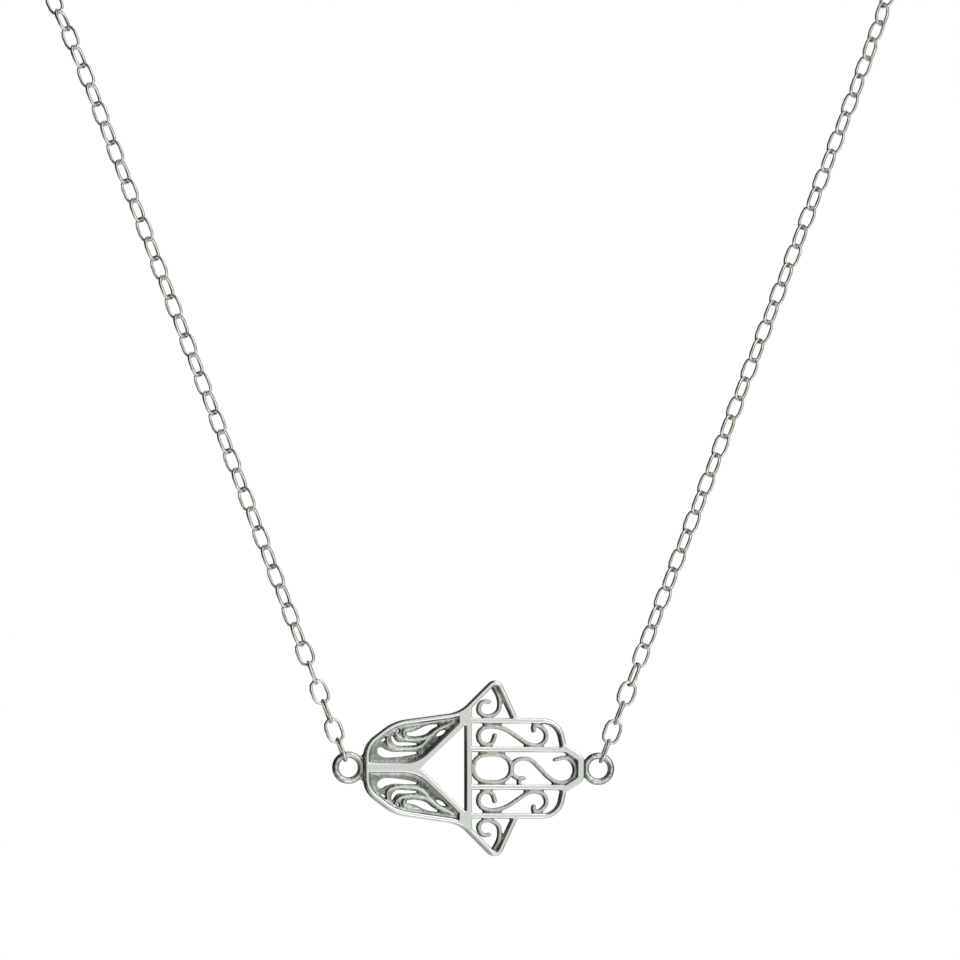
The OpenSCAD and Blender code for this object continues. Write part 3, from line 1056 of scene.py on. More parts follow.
@dataclass(frozen=True)
class CableChain:
    """The cable chain of one side, from its end ring up and back round the neck to the clasp.

    The chain is laid out flat first, u across and v up: a straight leg meets an arc over the
    nape. The sheet that holds it stands upright in front and leans back higher up.

    Attributes:
        ring_x: Place of the end ring along the hand.
        ring_bore: Radius of the hole in the end ring.
        clasp_bore: Radius of the hole in the clasp.
        loop_length: Length round the whole necklace.
        link_length: Outside length of a link with its clear space.
        link_width: Outside width of a link.
        wire_d: Wire diameter with its clear space.
        clearance: Clear space between the links of the solid model.
        swell: Share of that space by which the wire is thicker than in the solid model.
        square_links: Links at each end that lie square to their ring.
        twist: Turn of each link after those.
        leg_angle: Angle of the leg from upright.
        lean_start: Height at which the sheet starts to lean back.
        lean_r: Radius of its bend.
        lean_angle: Angle at which it leans back.
    """

    ring_x: float
    ring_bore: float
    clasp_bore: float
    loop_length: float = 459.0
    link_length: float = 2.54
    link_width: float = 1.66
    wire_d: float = 0.27
    clearance: float = 0.13
    swell: float = 0.225
    square_links: int = 4
    twist: float = math.radians(12.5)
    leg_angle: float = math.radians(21)
    lean_start: float = 60.0
    lean_r: float = 25.0
    lean_angle: float = NAPE_LEAN

    @property
    def bore(self) -> float:
        """Half the length of the hole in a link of the solid model."""
        return self.link_length / 2 - self.wire_d

    @property
    def pitch(self) -> float:
        """Distance from link to link."""
        return 2 * self.bore - self.clearance

    @property
    def first(self) -> float:
        """Distance of the first link from the middle of the end ring."""
        return self.ring_bore - self.clearance + self.bore

    @property
    def last(self) -> float:
        """Distance of the last link from the middle of the clasp."""
        return self.clasp_bore - self.clearance + self.bore

    @property
    def count(self) -> int:
        """Number of links, odd so that both end links stand square to their rings."""
        room = self.loop_length / 2 - self.ring_x - self.first - self.last
        return 2 * math.floor(room / self.pitch / 2) + 1

    @property
    def leg(self) -> float:
        """Works out how long the straight leg is, so that the loop closes.

        Returns:
            The length of the leg.
        """
        share = QUARTER + self.leg_angle
        half = self.first + (self.count - 1) * self.pitch + self.last
        spare = half - self.ring_x * share / math.cos(self.leg_angle)
        return spare / (1 + share * math.tan(self.leg_angle))

    @property
    def arc_r(self) -> float:
        """Radius of the arc over the nape."""
        return (self.ring_x + self.leg * math.sin(self.leg_angle)) / math.cos(self.leg_angle)

    @property
    def arc_v(self) -> float:
        """Height of the arc's middle."""
        return self.leg * math.cos(self.leg_angle) + self.arc_r * math.sin(self.leg_angle)

    def lean(self, v: float) -> float:
        """Angle at which the sheet leans back at a height."""
        return min(max(v - self.lean_start, 0.0) / self.lean_r, self.lean_angle)

    def place(self, u: float, v: float) -> Vector:
        """Folds a point of the flat layout into its place in space.

        Args:
            u: Place across the neck.
            v: Place up the sheet.

        Returns:
            The place from the middle of the plate.
        """
        lean, past = self.lean(v), max(v - self.lean_start - self.lean_r * self.lean_angle, 0.0)
        back = self.lean_r * (1 - math.cos(lean)) + past * math.sin(lean)
        up = min(v, self.lean_start) + self.lean_r * math.sin(lean) + past * math.cos(lean)
        return Vector((u, back, up))

    def nape(self) -> Vector:
        """Middle of the clasp, from the middle of the plate."""
        return self.place(0.0, self.arc_v + self.arc_r)

    def roll(self, index: int) -> float:
        """Turn of a link about the chain's line.

        Args:
            index: Number of the link, from the end ring.

        Returns:
            The angle in radians.
        """
        from_end = min(index, self.count - 1 - index)
        late = max(from_end - self.square_links + 1, 0)
        return QUARTER * ((index + 1) % 2) + min(self.twist * late, QUARTER / 2)

    def seat(self, index: int) -> Matrix:
        """Sets a link in its place on the right side of the neck.

        Args:
            index: Number of the link, from the end ring.

        Returns:
            The matrix from the link's own millimetres to the frame.
        """
        s = self.first + index * self.pitch
        turned = max(s - self.leg, 0.0) / self.arc_r - self.leg_angle
        if s < self.leg:
            u, v = self.ring_x + s * math.sin(self.leg_angle), s * math.cos(self.leg_angle)
        else:
            u, v = self.arc_r * math.cos(turned), self.arc_v + self.arc_r * math.sin(turned)
        lean, roll = self.lean(v), self.roll(index)
        rise = math.cos(turned)
        along = Vector((-math.sin(turned), rise * math.sin(lean), rise * math.cos(lean)))
        out = Vector((0.0, -math.cos(lean), math.sin(lean)))
        wide = math.cos(roll) * out.cross(along) + math.sin(roll) * out
        seat = Matrix((along, wide, along.cross(wide))).transposed().to_4x4()
        seat.translation = self.place(u, v) - self.nape()
        return Matrix.Scale(MM, 4) @ seat

    def link(self, sides: int = 6, end_steps: int = 5) -> bpy.types.Mesh:
        """One oval link, its length along x, drawn up so that it touches its neighbours.

        Args:
            sides: Faces round the wire.
            end_steps: Faces round each end.

        Returns:
            The mesh of the link, in millimetres.
        """
        wire_d = self.wire_d + self.swell * self.clearance
        length = self.pitch + 2 * wire_d
        end_r = (self.link_width - wire_d) / 2
        straight = length - self.link_width
        link = bmesh.new()
        seat = Matrix.Translation((straight / 2, -end_r, 0)) @ Matrix.Rotation(QUARTER, 4, "Y")
        bmesh.ops.create_circle(link, segments=sides, radius=wire_d / 2, matrix=seat)
        start = ring = link.edges[:]
        for middle in (straight / 2, -straight / 2):
            made = bmesh.ops.spin(
                link, geom=ring, cent=Vector((middle, 0, 0)), axis=Vector((0, 0, 1)),
                angle=HALF_TURN, steps=end_steps,
            )
            ring = of_kind(made["geom_last"], bmesh.types.BMEdge)
            if middle > 0:
                made = bmesh.ops.extrude_edge_only(link, edges=ring)
                ring = of_kind(made["geom"], bmesh.types.BMEdge)
                ends = {vert for edge in ring for vert in edge.verts}
                bmesh.ops.translate(link, verts=list(ends), vec=Vector((-straight, 0, 0)))
        bmesh.ops.bridge_loops(link, edges=[*start, *ring])
        bmesh.ops.recalc_face_normals(link, faces=link.faces)
        mesh = bpy.data.meshes.new("link")
        link.to_mesh(mesh)
        link.free()
        return mesh

    def build(self, name: str, side: int) -> bpy.types.Object:
        """Sets all the links of one side.

        Args:
            name: Name of the object.
            side: 1 on the right as seen from the front, -1 on the left.

        Returns:
            The chain.
        """
        pattern, metal = self.link(), bmesh.new()
        for index in range(self.count):
            link = pattern.copy()
            link.transform(Matrix.Diagonal((side, 1, 1, 1)) @ self.seat(index))
            metal.from_mesh(link)
            bpy.data.meshes.remove(link)
        bpy.data.meshes.remove(pattern)
        if side < 0:
            bmesh.ops.reverse_faces(metal, faces=metal.faces)
        piece = as_object(name, metal)
        piece.data.shade_smooth()
        return piece


@dataclass(frozen=True)
class Clasp:
    """The round spring clasp at the nape: a hollow ring, the bolt that closes it and its tab.

    Attributes:
        outer_d: Outer diameter of the ring.
        tube_d: Diameter of its tube.
        bolt_d: Diameter of the bolt that shows in the ring's gap.
        gap: Half of the angle over which the bolt shows.
        tab_length: Length of the thumb tab, from the middle of the tube.
        tab_d: Diameter of the thumb tab.
        tab_foot: Radius of the tab's foot as a share of that diameter.
        tab_dome: How far its end is rounded, as a share of the same.
        opening: Angle at the middle of the ring's gap, from +x towards +z.
        lean: Angle by which the clasp leans back, flat in the sheet that holds the chains.
        casting: How the parts are fused.
    """

    outer_d: float = 5.4
    tube_d: float = 0.7
    bolt_d: float = 0.5
    gap: float = math.radians(17)
    tab_length: float = 1.3
    tab_d: float = 0.49
    tab_foot: float = 0.42
    tab_dome: float = 0.3
    opening: float = math.radians(35)
    lean: float = NAPE_LEAN
    casting: Casting = Casting(grain=0.045, polish=4, keep=0.2)

    @property
    def middle_r(self) -> float:
        """Radius of the middle of the tube."""
        return (self.outer_d - self.tube_d) / 2

    @property
    def bore(self) -> float:
        """Radius of the hole in the ring."""
        return self.middle_r - self.tube_d / 2

    def tube(self, diameter: float, start: float, sweep: float) -> bmesh.types.BMesh:
        """Stretch of round tube in the XZ plane.

        Args:
            diameter: Diameter of the tube.
            start: Angle at which it starts, from +x towards +z.
            sweep: Angle that it takes.

        Returns:
            The closed mesh of the tube.
        """
        tube = bmesh.new()
        whole = sweep >= FULL_TURN
        seat = Matrix.Rotation(-start, 4, "Y") @ Matrix.Translation((self.middle_r, 0, 0))
        bmesh.ops.create_circle(
            tube, segments=20, radius=diameter / 2, cap_ends=not whole, matrix=seat
        )
        bmesh.ops.spin(
            tube, geom=[*tube.verts, *tube.edges, *tube.faces], cent=Vector(),
            axis=Vector((0, -1, 0)), angle=sweep, steps=72, use_merge=whole,
        )
        bmesh.ops.recalc_face_normals(tube, faces=tube.faces)
        return tube

    def tab(self) -> bmesh.types.BMesh:
        """Thumb tab that stands up from the top of the ring, with a softly domed end.

        Returns:
            The closed mesh of the tab.
        """
        tab = bmesh.new()
        middle_z = self.middle_r + self.tab_length / 2
        bmesh.ops.create_cone(
            tab, segments=24, radius1=self.tab_d * self.tab_foot, radius2=self.tab_d / 2,
            depth=self.tab_length, cap_ends=True, matrix=Matrix.Translation((0, 0, middle_z)),
        )
        top = [edge for edge in tab.edges if min(v.co.z for v in edge.verts) > middle_z]
        bmesh.ops.bevel(
            tab, geom=top, affect="EDGES", offset=self.tab_d * self.tab_dome, segments=4,
            profile=0.5, material=-1,
        )
        return tab

    def build(self) -> bpy.types.Object:
        """Models the clasp.

        Returns:
            The clasp in its place at the frame's origin.
        """
        metal = bmesh.new()
        start, sweep = self.opening + self.gap, FULL_TURN - 2 * self.gap
        join(metal, self.tube(self.tube_d, start, sweep))
        join(metal, self.tube(self.bolt_d, 0.0, FULL_TURN))
        join(metal, self.tab())
        piece = self.casting.fuse(as_object("clasp_ring", metal))
        turn = Matrix.Rotation(-self.lean, 4, "X")
        piece.data.transform(turn @ Matrix.Scale(MM, 4))
        return piece


class Signal:
    """A number that varies over a surface. Arithmetic on it adds Math nodes."""

    def __init__(self, bench: "Bench", socket: bpy.types.NodeSocket) -> None:
        """Wraps the output socket of a node."""
        self.bench = bench
        self.socket = socket

    def __add__(self, other: "Signal | float") -> "Signal":
        """Sum."""
        return self.bench.math("ADD", self, other)

    def __sub__(self, other: "Signal | float") -> "Signal":
        """Difference."""
        return self.bench.math("SUBTRACT", self, other)

    def __rsub__(self, other: float) -> "Signal":
        """Difference from a number."""
        return self.bench.math("SUBTRACT", other, self)

    def __mul__(self, other: "Signal | float") -> "Signal":
        """Product."""
        return self.bench.math("MULTIPLY", self, other)

    def __abs__(self) -> "Signal":
        """Size without its sign."""
        return self.bench.math("ABSOLUTE", self)

    __radd__ = __add__
    __rmul__ = __mul__

    def rise(self, low: float, high: float) -> "Signal":
        """Smooth step between two values.

        Args:
            low: Value up to which the result is 0.
            high: Value from which it is 1.

        Returns:
            The step.
        """
        node = self.bench.add(
            "ShaderNodeMapRange", {"interpolation_type": "SMOOTHSTEP"},
            {"Value": self, "From Min": low, "From Max": high},
        )
        return Signal(self.bench, node.outputs["Result"])

    def swing(self, size: float) -> "Signal":
        """A noise made to swing about zero, by half the size to each side."""
        return (self - 0.5) * size


Feed = Signal | bpy.types.NodeSocket | float | Sequence[float]
Inputs = dict[str | int, Feed]


class Bench:
    """Adds nodes to one node tree."""

    def __init__(self, tree: bpy.types.NodeTree) -> None:
        """Starts with an empty tree."""
        tree.nodes.clear()
        self.tree = tree

    def add(
        self, kind: str, settings: dict[str, Any] | None = None, inputs: Inputs | None = None
    ) -> bpy.types.Node:
        """Adds a node.

        Args:
            kind: Type of the node.
            settings: Its own settings, which are set first.
            inputs: Values or links of its input sockets.

        Returns:
            The node.
        """
        node = self.tree.nodes.new(kind)
        for name, value in (settings or {}).items():
            setattr(node, name, value)
        for key, feed in (inputs or {}).items():
            source = feed.socket if isinstance(feed, Signal) else feed
            if isinstance(source, bpy.types.NodeSocket):
                self.tree.links.new(source, node.inputs[key])
            else:
                node.inputs[key].default_value = source
        return node

    def math(self, operation: str, *values: Signal | float) -> Signal:
        """Adds a Math node."""
        node = self.add("ShaderNodeMath", {"operation": operation}, dict(enumerate(values)))
        return Signal(self, node.outputs[0])

    def place(self, middle: Sequence[float], stretch: Sequence[float]) -> bpy.types.NodeSocket:
        """Object coordinates in millimetres from a middle, stretched along each axis.

        Args:
            middle: The middle, in metres.
            stretch: Factor along each axis.

        Returns:
            The socket of the coordinates.
        """
        coords = self.add("ShaderNodeTexCoord").outputs["Object"]
        scale = [value / MM for value in stretch]
        offset = [-value * size for value, size in zip(middle, scale)]
        node = self.add(
            "ShaderNodeMapping", None, {"Vector": coords, "Location": offset, "Scale": scale}
        )
        return node.outputs["Vector"]

    def part_of(self, vector: bpy.types.NodeSocket, axis: str) -> Signal:
        """One axis of a vector."""
        return Signal(self, self.add("ShaderNodeSeparateXYZ", None, {0: vector}).outputs[axis])

    def noise(self, place: bpy.types.NodeSocket, scale: float, detail: float = 2.0) -> Signal:
        """Soft noise with a number of waves to the millimetre."""
        inputs: Inputs = {"Vector": place, "Scale": scale, "Detail": detail}
        return Signal(self, self.add("ShaderNodeTexNoise", None, inputs).outputs[0])

    def blend(self, share: Feed, first: Feed, second: Feed) -> bpy.types.NodeSocket:
        """Colour between two colours."""
        node = self.add("ShaderNodeMix", {"data_type": "RGBA"}, {0: share, 6: first, 7: second})
        return node.outputs[2]

    def bump(
        self, height: Signal, depth: float, below: Feed | None = None
    ) -> bpy.types.NodeSocket:
        """Normal of a surface with small relief.

        Args:
            height: Height of the relief, from 0 to 1.
            depth: Its depth in millimetres.
            below: Normal of the coarser relief under it.

        Returns:
            The socket of the normal.
        """
        inputs: Inputs = {"Height": height, "Distance": depth * MM}
        if below is not None:
            inputs["Normal"] = below
        return self.add("ShaderNodeBump", None, inputs).outputs["Normal"]


@dataclass(frozen=True)
class Finish:
    """A look that a piece is given, on a material of its own.

    Attributes:
        name: Name of the material.
    """

    name: str

    def look(self, bench: Bench) -> Inputs:
        """The inputs of the finish's shader."""
        raise NotImplementedError

    def dress(self, piece: bpy.types.Object) -> None:
        """Gives a piece this finish.

        Args:
            piece: The piece, its place in its mesh.
        """
        material = bpy.data.materials.new(self.name)
        material.use_nodes = True
        bench = Bench(material.node_tree)
        shader = bench.add("ShaderNodeBsdfPrincipled", None, self.look(bench))
        bench.add("ShaderNodeOutputMaterial", None, {"Surface": shader.outputs[0]})
        piece.data.materials.clear()
        piece.data.materials.append(material)


@dataclass(frozen=True)
class Marks:
    """Fine marks that polishing leaves in one direction.

    Attributes:
        waves: Waves to the millimetre along each axis.
        fade: Strengths of the noise between which a mark shows.
    """

    waves: tuple[float, float, float]
    fade: Span

    def signal(self, bench: Bench, middle: Vector) -> Signal:
        """Strength of the marks on a piece with a given middle."""
        return bench.noise(bench.place(middle, self.waves), 1.0).rise(*self.fade)


@dataclass(frozen=True)
class CastSilver(Finish):
    """Cast silver, polished on its raised faces and open walls, oxidised in its recesses and
    darkened there further with painted shade.

    Attributes:
        middle: Middle of the plate in the frame, in metres.
        ring_start: Distance from the middle along the hand at which the end rings start.
        leaf_end: Place along the hand at which the leaf work ends.
        palm: Places along the hand between which the floor of the leaf work darkens with painted
            shade.
        tip: Places along the hand between which painted shadow darkens the floor behind the middle
            fingertip.
        thumb: Places across the hand between which painted shadow darkens the floor behind the
            ends of the thumbs.
        bright: Colour of the polished metal.
        dull: Colour of the scrolls, which the polishing wheel barely reaches; its darkness is
            partly painted shade of the sunken layer.
        dark: Colour of the oxidised floor of the leaf work, also laid on as painted shade.
        levels: Distances from the middle plane at which the oxidised floor ends, the dull metal
            starts and ends, and the polished faces start.
        unevenness: How far the lumps shift those levels.
        reach: How far around it a spot is sheltered by other metal.
        facing: How squarely a surface faces front or back where it still counts as a wall, and
            where it counts as a face.
        open_wall: How open a wall lies where the wheel starts to reach it, and reaches it well.
        crevice_shade: How open a spot lies where painted shade darkens it fully, and where it gets
            none.
        ring_blend: Width of the change from the plate to the end rings.
        leaf_blend: Half the width of the change from the leaf work to the scrolls.
        cloud_waves: Waves to the millimetre of the broad unevenness of the polish.
        lump_waves: The same of the lumps of the casting.
        grain_waves: The same of its fine grain.
        stains: Strengths of the lumps between which the end rings are stained.
        floor_oxide: How dark the oxidised floor lies everywhere.
        palm_shade: How much darker the floor is painted towards the palm, as painted shade beside
            the slanted bar.
        deep_oxide_and_shade: How much darker it is in the stains of the rings, and with painted
            shade in crevices and behind the middle fingertip and thumbs.
        leaf_polish: How much less dull the leaf work is than the scrolls.
        ring_dullness: How dull the end rings are.
        tint_drift: How far the clouds shift the change from bright to dull.
        polish: Roughness of the polished metal.
        matt: Roughness of the dull metal.
        mark_rough: How much rougher the marks of polishing are.
        cloud_rough: How far the clouds change the roughness.
        grain_rough: How far the grain changes it.
        cloud_depth: Depth of the clouds' relief in millimetres.
        lump_depth: Depth of the lumps.
        grain_depth: Depth of the grain and the marks.
        fine_cut: Share of the grain and the marks that shows on polished metal.
        hairs: Fine marks along the hand.
        scratches: Marks across it.
    """

    middle: Vector
    ring_start: float
    leaf_end: float
    palm: Span
    tip: Span
    thumb: Span
    bright: Color = (0.87, 0.905, 0.86, 1.0)
    dull: Color = (0.64, 0.675, 0.61, 1.0)
    dark: Color = (0.085, 0.1, 0.07, 1.0)
    levels: tuple[float, float, float, float] = (0.3, 0.45, 0.5, 0.68)
    unevenness: float = 0.16
    reach: float = 1.1
    facing: Span = (0.25, 0.7)
    open_wall: Span = (0.75, 0.98)
    crevice_shade: Span = (0.3, 0.62)
    ring_blend: float = 0.25
    leaf_blend: float = 0.3
    cloud_waves: float = 0.7
    lump_waves: float = 2.6
    grain_waves: float = 7.0
    stains: Span = (0.42, 0.66)
    floor_oxide: float = 0.68
    palm_shade: float = 0.3
    deep_oxide_and_shade: float = 0.5
    leaf_polish: float = 0.4
    ring_dullness: float = 0.7
    tint_drift: float = 0.2
    polish: float = 0.15
    matt: float = 0.42
    mark_rough: float = 0.05
    cloud_rough: float = 0.12
    grain_rough: float = 0.08
    cloud_depth: float = 0.02
    lump_depth: float = 0.06
    grain_depth: float = 0.0035
    fine_cut: float = 0.3
    hairs: Marks = Marks(waves=(1.1, 3.0, 16.0), fade=(0.56, 0.7))
    scratches: Marks = Marks(waves=(14.0, 3.0, 1.3), fade=(0.6, 0.72))

    @classmethod
    def for_plate(cls, name: str, plate: HandPlate) -> "CastSilver":
        """Finish that fits a plate.

        Args:
            name: Name of the material.
            plate: The plate that is dressed.

        Returns:
            The finish.
        """
        half_l, half_w = plate.half_l, plate.half_w
        return cls(
            name, middle=plate.centre, ring_start=half_l + 0.1, leaf_end=plate.web_x,
            palm=(half_l * -0.7, half_l * -0.4), tip=(half_l * 0.86, half_l * 0.93),
            thumb=(half_w * 0.8, half_w * 0.88),
        )

    def wear_and_shade(
        self, bench: Bench, place: bpy.types.NodeSocket, lumps: Signal
    ) -> tuple[Signal, Signal]:
        """Where the metal has stayed oxidised, where painted shade falls, and where the wheel has
        not reached.

        Args:
            bench: Bench of the material.
            place: Coordinates in millimetres from the middle of the plate.
            lumps: The lumps of the casting.

        Returns:
            The strength of the oxidised and painted-shade darkening, and the dullness of the
            metal, partly painted shade on the sunken scrolls.
        """
        along, through, over = (bench.part_of(place, axis) for axis in "XYZ")
        on_ring = abs(along).rise(self.ring_start, self.ring_start + self.ring_blend)
        in_leaf = 1 - along.rise(self.leaf_end - self.leaf_blend, self.leaf_end + self.leaf_blend)
        depth = abs(through) + lumps.swing(self.unevenness)
        facing = abs(bench.part_of(bench.add("ShaderNodeTexCoord").outputs["Normal"], "Y"))
        shelter = bench.add(
            "ShaderNodeAmbientOcclusion", {"samples": 8, "only_local": True},
            {"Distance": self.reach * MM},
        )
        air = Signal(bench, shelter.outputs["AO"])
        wall = (1 - facing.rise(*self.facing)) * air.rise(*self.open_wall)
        kept = (1 - wall) * (1 - on_ring)
        floor, low, high, face = self.levels
        sunk = (1 - depth.rise(high, face)) * kept
        # Painted shadow on the sunken floor behind the middle fingertip and the ends of the
        # thumbs.
        tip_shadow = along.rise(*self.tip) + abs(over).rise(*self.thumb)
        stains = on_ring * lumps.rise(*self.stains)
        # Painted shade: the leaf work darkens where the ambient occlusion finds other metal close
        # by.
        crevice_shade = (1 - air.rise(*self.crevice_shade)) * in_leaf * sunk
        # Towards the palm the floor gets darker still: painted shade beside the slanted bar, on
        # top of the oxide.
        share = self.floor_oxide + in_leaf * along.rise(*self.palm) * self.palm_shade
        oxide_and_shade = (1 - depth.rise(floor, low)) * kept * share
        oxide_and_shade = oxide_and_shade + (stains + sunk * tip_shadow + crevice_shade) * self.deep_oxide_and_shade
        return oxide_and_shade, sunk * (1 - in_leaf * self.leaf_polish) + on_ring * self.ring_dullness

    def look(self, bench: Bench) -> Inputs:
        """The silver's colour, roughness and relief.

        Args:
            bench: Bench of the material.

        Returns:
            The inputs of the shader.
        """
        place = bench.place(self.middle, (1, 1, 1))
        cloud = bench.noise(place, self.cloud_waves, detail=3.0)
        lumps = bench.noise(place, self.lump_waves)
        grain = bench.noise(place, self.grain_waves, detail=3.0)
        oxide_and_shade, dullness = self.wear_and_shade(bench, place, lumps)
        marks = self.hairs.signal(bench, self.middle) + self.scratches.signal(bench, self.middle)
        # The sunken scrolls take the darker dull colour: partly less polished metal, partly
        # painted shade.
        metal = bench.blend(dullness + cloud.swing(self.tint_drift), self.bright, self.dull)
        rough = self.polish + dullness * (self.matt - self.polish) + marks * self.mark_rough
        rough = rough + cloud.swing(self.cloud_rough) + grain.swing(self.grain_rough)
        worn = bench.bump(cloud, self.cloud_depth)
        lumpy = bench.bump(lumps * dullness, self.lump_depth, worn)
        fine = grain * (self.fine_cut + dullness) + marks * self.fine_cut
        # The base colour turns dark where the metal is oxidised and where painted shade falls.
        return {
            "Base Color": bench.blend(oxide_and_shade, metal, self.dark), "Metallic": 1.0,
            "Roughness": rough, "Normal": bench.bump(fine, self.grain_depth, lumpy),
        }


@dataclass(frozen=True)
class ChainSilver(Finish):
    """Drawn silver wire, polished and a little greyer than the plate.

    Attributes:
        bright: Colour of the polished wire.
        worn: Colour where it is rubbed dull.
        cloud_waves: Waves to the millimetre of the rubbed spots.
        grain_waves: The same of the fine grain.
        rubbed: Strengths of the clouds between which the wire is rubbed.
        rub: How dull it is there.
        polish: Roughness of the wire.
        cloud_rough: How far the clouds change it.
        grain_rough: How far the grain changes it.
        grain_depth: Depth of the grain in millimetres.
    """

    bright: Color = (0.91, 0.93, 0.84, 1.0)
    worn: Color = (0.7, 0.72, 0.61, 1.0)
    cloud_waves: float = 0.9
    grain_waves: float = 9.0
    rubbed: Span = (0.42, 0.75)
    rub: float = 0.7
    polish: float = 0.3
    cloud_rough: float = 0.16
    grain_rough: float = 0.1
    grain_depth: float = 0.004

    def look(self, bench: Bench) -> Inputs:
        """The wire's colour, roughness and relief.

        Args:
            bench: Bench of the material.

        Returns:
            The inputs of the shader.
        """
        place = bench.place((0, 0, 0), (1, 1, 1))
        cloud = bench.noise(place, self.cloud_waves)
        grain = bench.noise(place, self.grain_waves)
        rough = self.polish + cloud.swing(self.cloud_rough) + grain.swing(self.grain_rough)
        tint = bench.blend(cloud.rise(*self.rubbed) * self.rub, self.bright, self.worn)
        return {
            "Base Color": tint, "Metallic": 1.0, "Roughness": rough,
            "Normal": bench.bump(grain, self.grain_depth),
        }


@dataclass(frozen=True)
class FloorPaint(Finish):
    """Pale floor that glows softly, so that no edge of it shows.

    Attributes:
        colour: Colour of the paint.
        matt: Its roughness.
        glow: Strength of its white glow.
    """

    colour: Color = (0.9, 0.9, 0.9, 1.0)
    matt: float = 0.9
    glow: float = 0.95

    def look(self, bench: Bench) -> Inputs:
        """The inputs of the shader, which are all constant."""
        light: Inputs = {"Emission Color": WHITE, "Emission Strength": self.glow}
        return {"Base Color": self.colour, "Roughness": self.matt, **light}


@dataclass(frozen=True)
class Lamp:
    """A soft square lamp that faces the plate.

    Attributes:
        name: Name of the lamp.
        power: Its power in watts.
        size: Its edge in metres.
        place: Its place from the middle of the plate, in metres.
    """

    name: str
    power: float
    size: float
    place: tuple[float, float, float]

    def hang(self, subject: Vector) -> None:
        """Adds the lamp to the scene.

        Args:
            subject: Middle of the plate, in metres.
        """
        data = bpy.data.lights.new(self.name, "AREA")
        data.energy, data.size = self.power, self.size
        lamp = linked(self.name, data)
        offset = Vector(self.place)
        lamp.location = subject + offset
        lamp.rotation_euler = offset.to_track_quat("Z", "Y").to_euler()


@dataclass(frozen=True)
class Surroundings:
    """Soft light all round, which the silver mirrors.

    It is dark on the left and at the upper left and bright on the other sides. Each span holds
    two values of a direction's x, y or z: where a zone starts and where it is full.

    Attributes:
        front: The zone in front.
        above: The zone above.
        below: The zone below.
        left: The dark zone on the left.
        behind: The zone behind.
        behind_right: Where that zone starts on the right of the middle.
        behind_left: Where it starts again far out on the left.
        upper: Height of the dark zone at the upper left.
        upper_right: Where that zone ends towards the right.
        front_light: Light from the front.
        above_light: Light from above.
        behind_light: Light from behind.
        below_light: Light from below.
        least: Light from everywhere.
        left_shade: Share of the light that the dark zone on the left takes.
        upper_shade: Share that the dark zone at the upper left takes.
        tint: Colour of the light.
    """

    front: Span = (-0.05, 0.75)
    above: Span = (0.3, 0.8)
    below: Span = (0.15, 0.6)
    left: Span = (0.12, 0.32)
    behind: Span = (0.5, 0.9)
    behind_right: Span = (-0.1, 0.0)
    behind_left: Span = (0.35, 0.6)
    upper: Span = (0.15, 0.45)
    upper_right: Span = (0.04, 0.13)
    front_light: float = 0.7
    above_light: float = 0.5
    behind_light: float = 0.6
    below_light: float = 0.4
    least: float = 0.02
    left_shade: float = 0.97
    upper_shade: float = 0.95
    tint: Color = (0.98, 1.0, 0.98, 1.0)

    def light(self, bench: Bench) -> Signal:
        """Adds up the zones.

        Args:
            bench: Bench of the world.

        Returns:
            The strength of the light from each direction.
        """
        way = bench.add("ShaderNodeTexCoord").outputs["Generated"]
        x, y, z = (bench.part_of(way, axis) for axis in "XYZ")
        sides = x.rise(*self.behind_right) + (-1 * x).rise(*self.behind_left)
        bright = (
            (-1 * y).rise(*self.front) * self.front_light
            + z.rise(*self.above) * self.above_light
            + y.rise(*self.behind) * sides * self.behind_light
        )
        upper_left = z.rise(*self.upper) * (1 - x.rise(*self.upper_right))
        bright = bright * (1 - self.upper_shade * upper_left)
        bright = bright * (1 - self.left_shade * (-1 * x).rise(*self.left))
        return self.least + bright + (-1 * z).rise(*self.below) * self.below_light

    def build(self) -> None:
        """Sets the scene's world. The camera itself sees plain white."""
        world = bpy.data.worlds.new("studio")
        bpy.context.scene.world = world
        world.use_nodes = True
        bench = Bench(world.node_tree)
        light = self.light(bench)
        seen = Signal(bench, bench.add("ShaderNodeLightPath").outputs["Is Camera Ray"])
        back: Inputs = {
            "Color": bench.blend(seen, self.tint, WHITE), "Strength": seen * (1 - light) + light,
        }
        shader = bench.add("ShaderNodeBackground", None, back)
        bench.add("ShaderNodeOutputWorld", None, {"Surface": shader.outputs[0]})


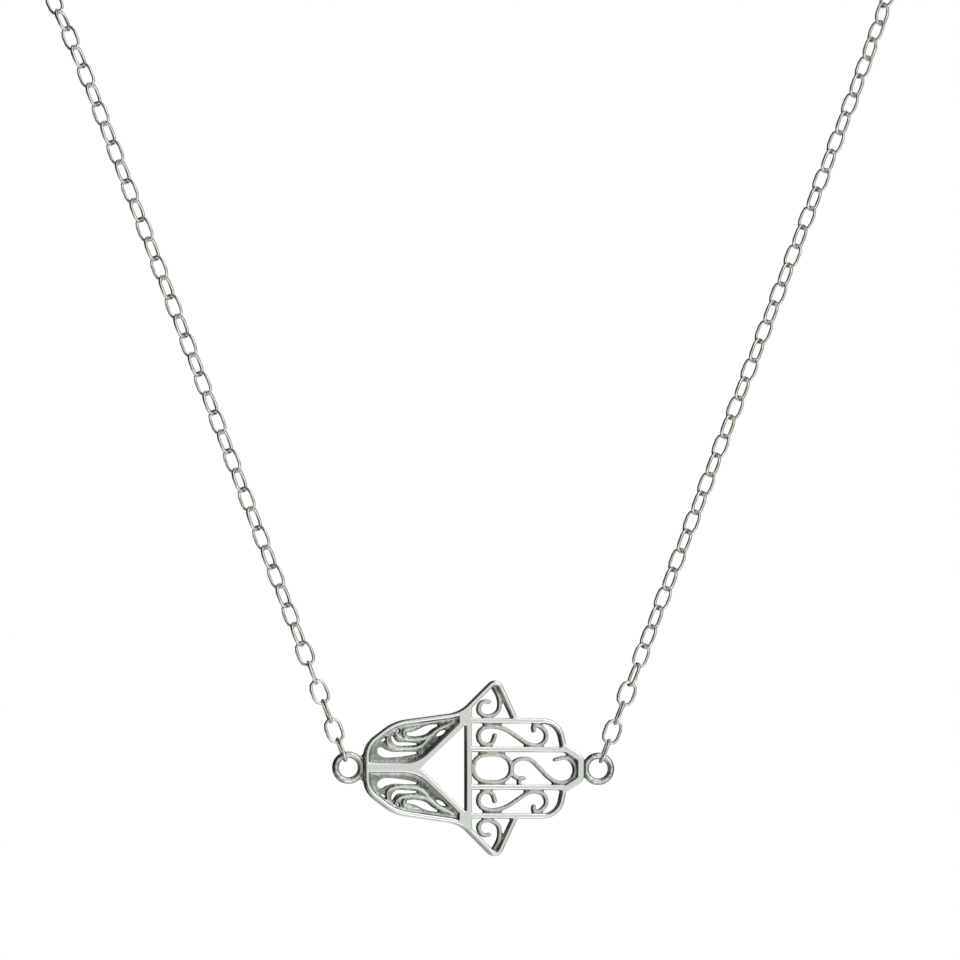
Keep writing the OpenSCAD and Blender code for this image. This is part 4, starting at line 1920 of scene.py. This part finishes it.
@dataclass(frozen=True)
class Studio:
    """Camera, light and floor.

    Attributes:
        subject: Middle of the plate, in metres.
        azimuth: Angle of the camera from straight in front, negative to the left.
        elevation: Angle of the camera above the level, negative below it.
        distance: Distance of the camera, in metres.
        field: Height and width of what it sees at the plate, in metres.
        aim_across: How far right of the subject it aims, in metres.
        aim_up: How far above the subject it aims.
        drop: How far the floor lies below the subject.
        floor_reach: Distance from the floor's middle to its sides.
        surroundings: The light all round.
        lamps: The lamps in front.
    """

    subject: Vector
    azimuth: float = math.radians(-9)
    elevation: float = math.radians(-3)
    distance: float = 1.2
    field: float = 0.08727
    aim_across: float = 0.0006
    aim_up: float = 0.0262
    drop: float = 0.12
    floor_reach: float = 1.5
    surroundings: Surroundings = Surroundings()
    lamps: tuple[Lamp, ...] = (
        Lamp("key", power=0.7, size=0.5, place=(0.35, -0.6, 0.35)),
        Lamp("fill", power=0.3, size=0.4, place=(0.05, -0.65, -0.4)),
    )

    def set_camera(self) -> None:
        """Places the camera."""
        data = bpy.data.cameras.new("camera")
        camera = linked("camera", data)
        tilt = Matrix.Rotation(QUARTER - self.elevation, 3, "X")
        turn = Matrix.Rotation(self.azimuth, 3, "Z") @ tilt
        aim = self.subject + turn @ Vector((self.aim_across, self.aim_up, 0.0))
        camera.matrix_world = turn.to_4x4()
        camera.location = aim + turn @ Vector((0.0, 0.0, self.distance))
        data.sensor_width = 36.0
        data.lens = data.sensor_width * self.distance / self.field
        data.clip_start, data.clip_end = 0.01, 10.0
        bpy.context.scene.camera = camera

    def set_floor(self) -> None:
        """Lays the pale floor, which the silver doesn't mirror."""
        floor = bmesh.new()
        bmesh.ops.create_grid(floor, x_segments=1, y_segments=1, size=self.floor_reach)
        spot = self.subject - Vector((0.0, 0.0, self.drop))
        bmesh.ops.translate(floor, verts=floor.verts, vec=spot)
        piece = as_object("floor", floor)
        FloorPaint("pale_floor").dress(piece)
        piece.visible_glossy = False

    def build(self) -> None:
        """Sets up the whole studio."""
        self.set_camera()
        self.surroundings.build()
        for lamp in self.lamps:
            lamp.hang(self.subject)
        self.set_floor()
        bpy.context.scene.view_settings.view_transform = "Standard"


def main() -> None:
    """Builds the studio and the necklace, and reports each piece."""
    logging.basicConfig(level=logging.INFO, format="%(message)s")
    plate = HandPlate.in_box(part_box("hamsa"))
    clasp = Clasp()
    chain = CableChain(
        ring_x=plate.ring_x, ring_bore=plate.ring_d / 2 - plate.ring_wire_d, clasp_bore=clasp.bore
    )
    Studio(plate.centre).build()
    silver = CastSilver.for_plate("cast_silver", plate)
    wire = ChainSilver("drawn_silver")
    pieces = [
        ("hamsa", "polished_silver", silver, plate.build()),
        ("chain_left", "chain_silver", wire, chain.build("links_left", -1)),
        ("chain_right", "chain_silver", wire, chain.build("links_right", 1)),
        ("clasp", "polished_silver", wire, clasp.build()),
    ]
    for node, slot, finish, piece in pieces:
        finish.dress(piece)
        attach(piece, "root")
        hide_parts(node)
        LOG.info("%s replaces %s with %d faces", piece.name, node, len(piece.data.polygons))


if __name__ == "__main__":
    main()
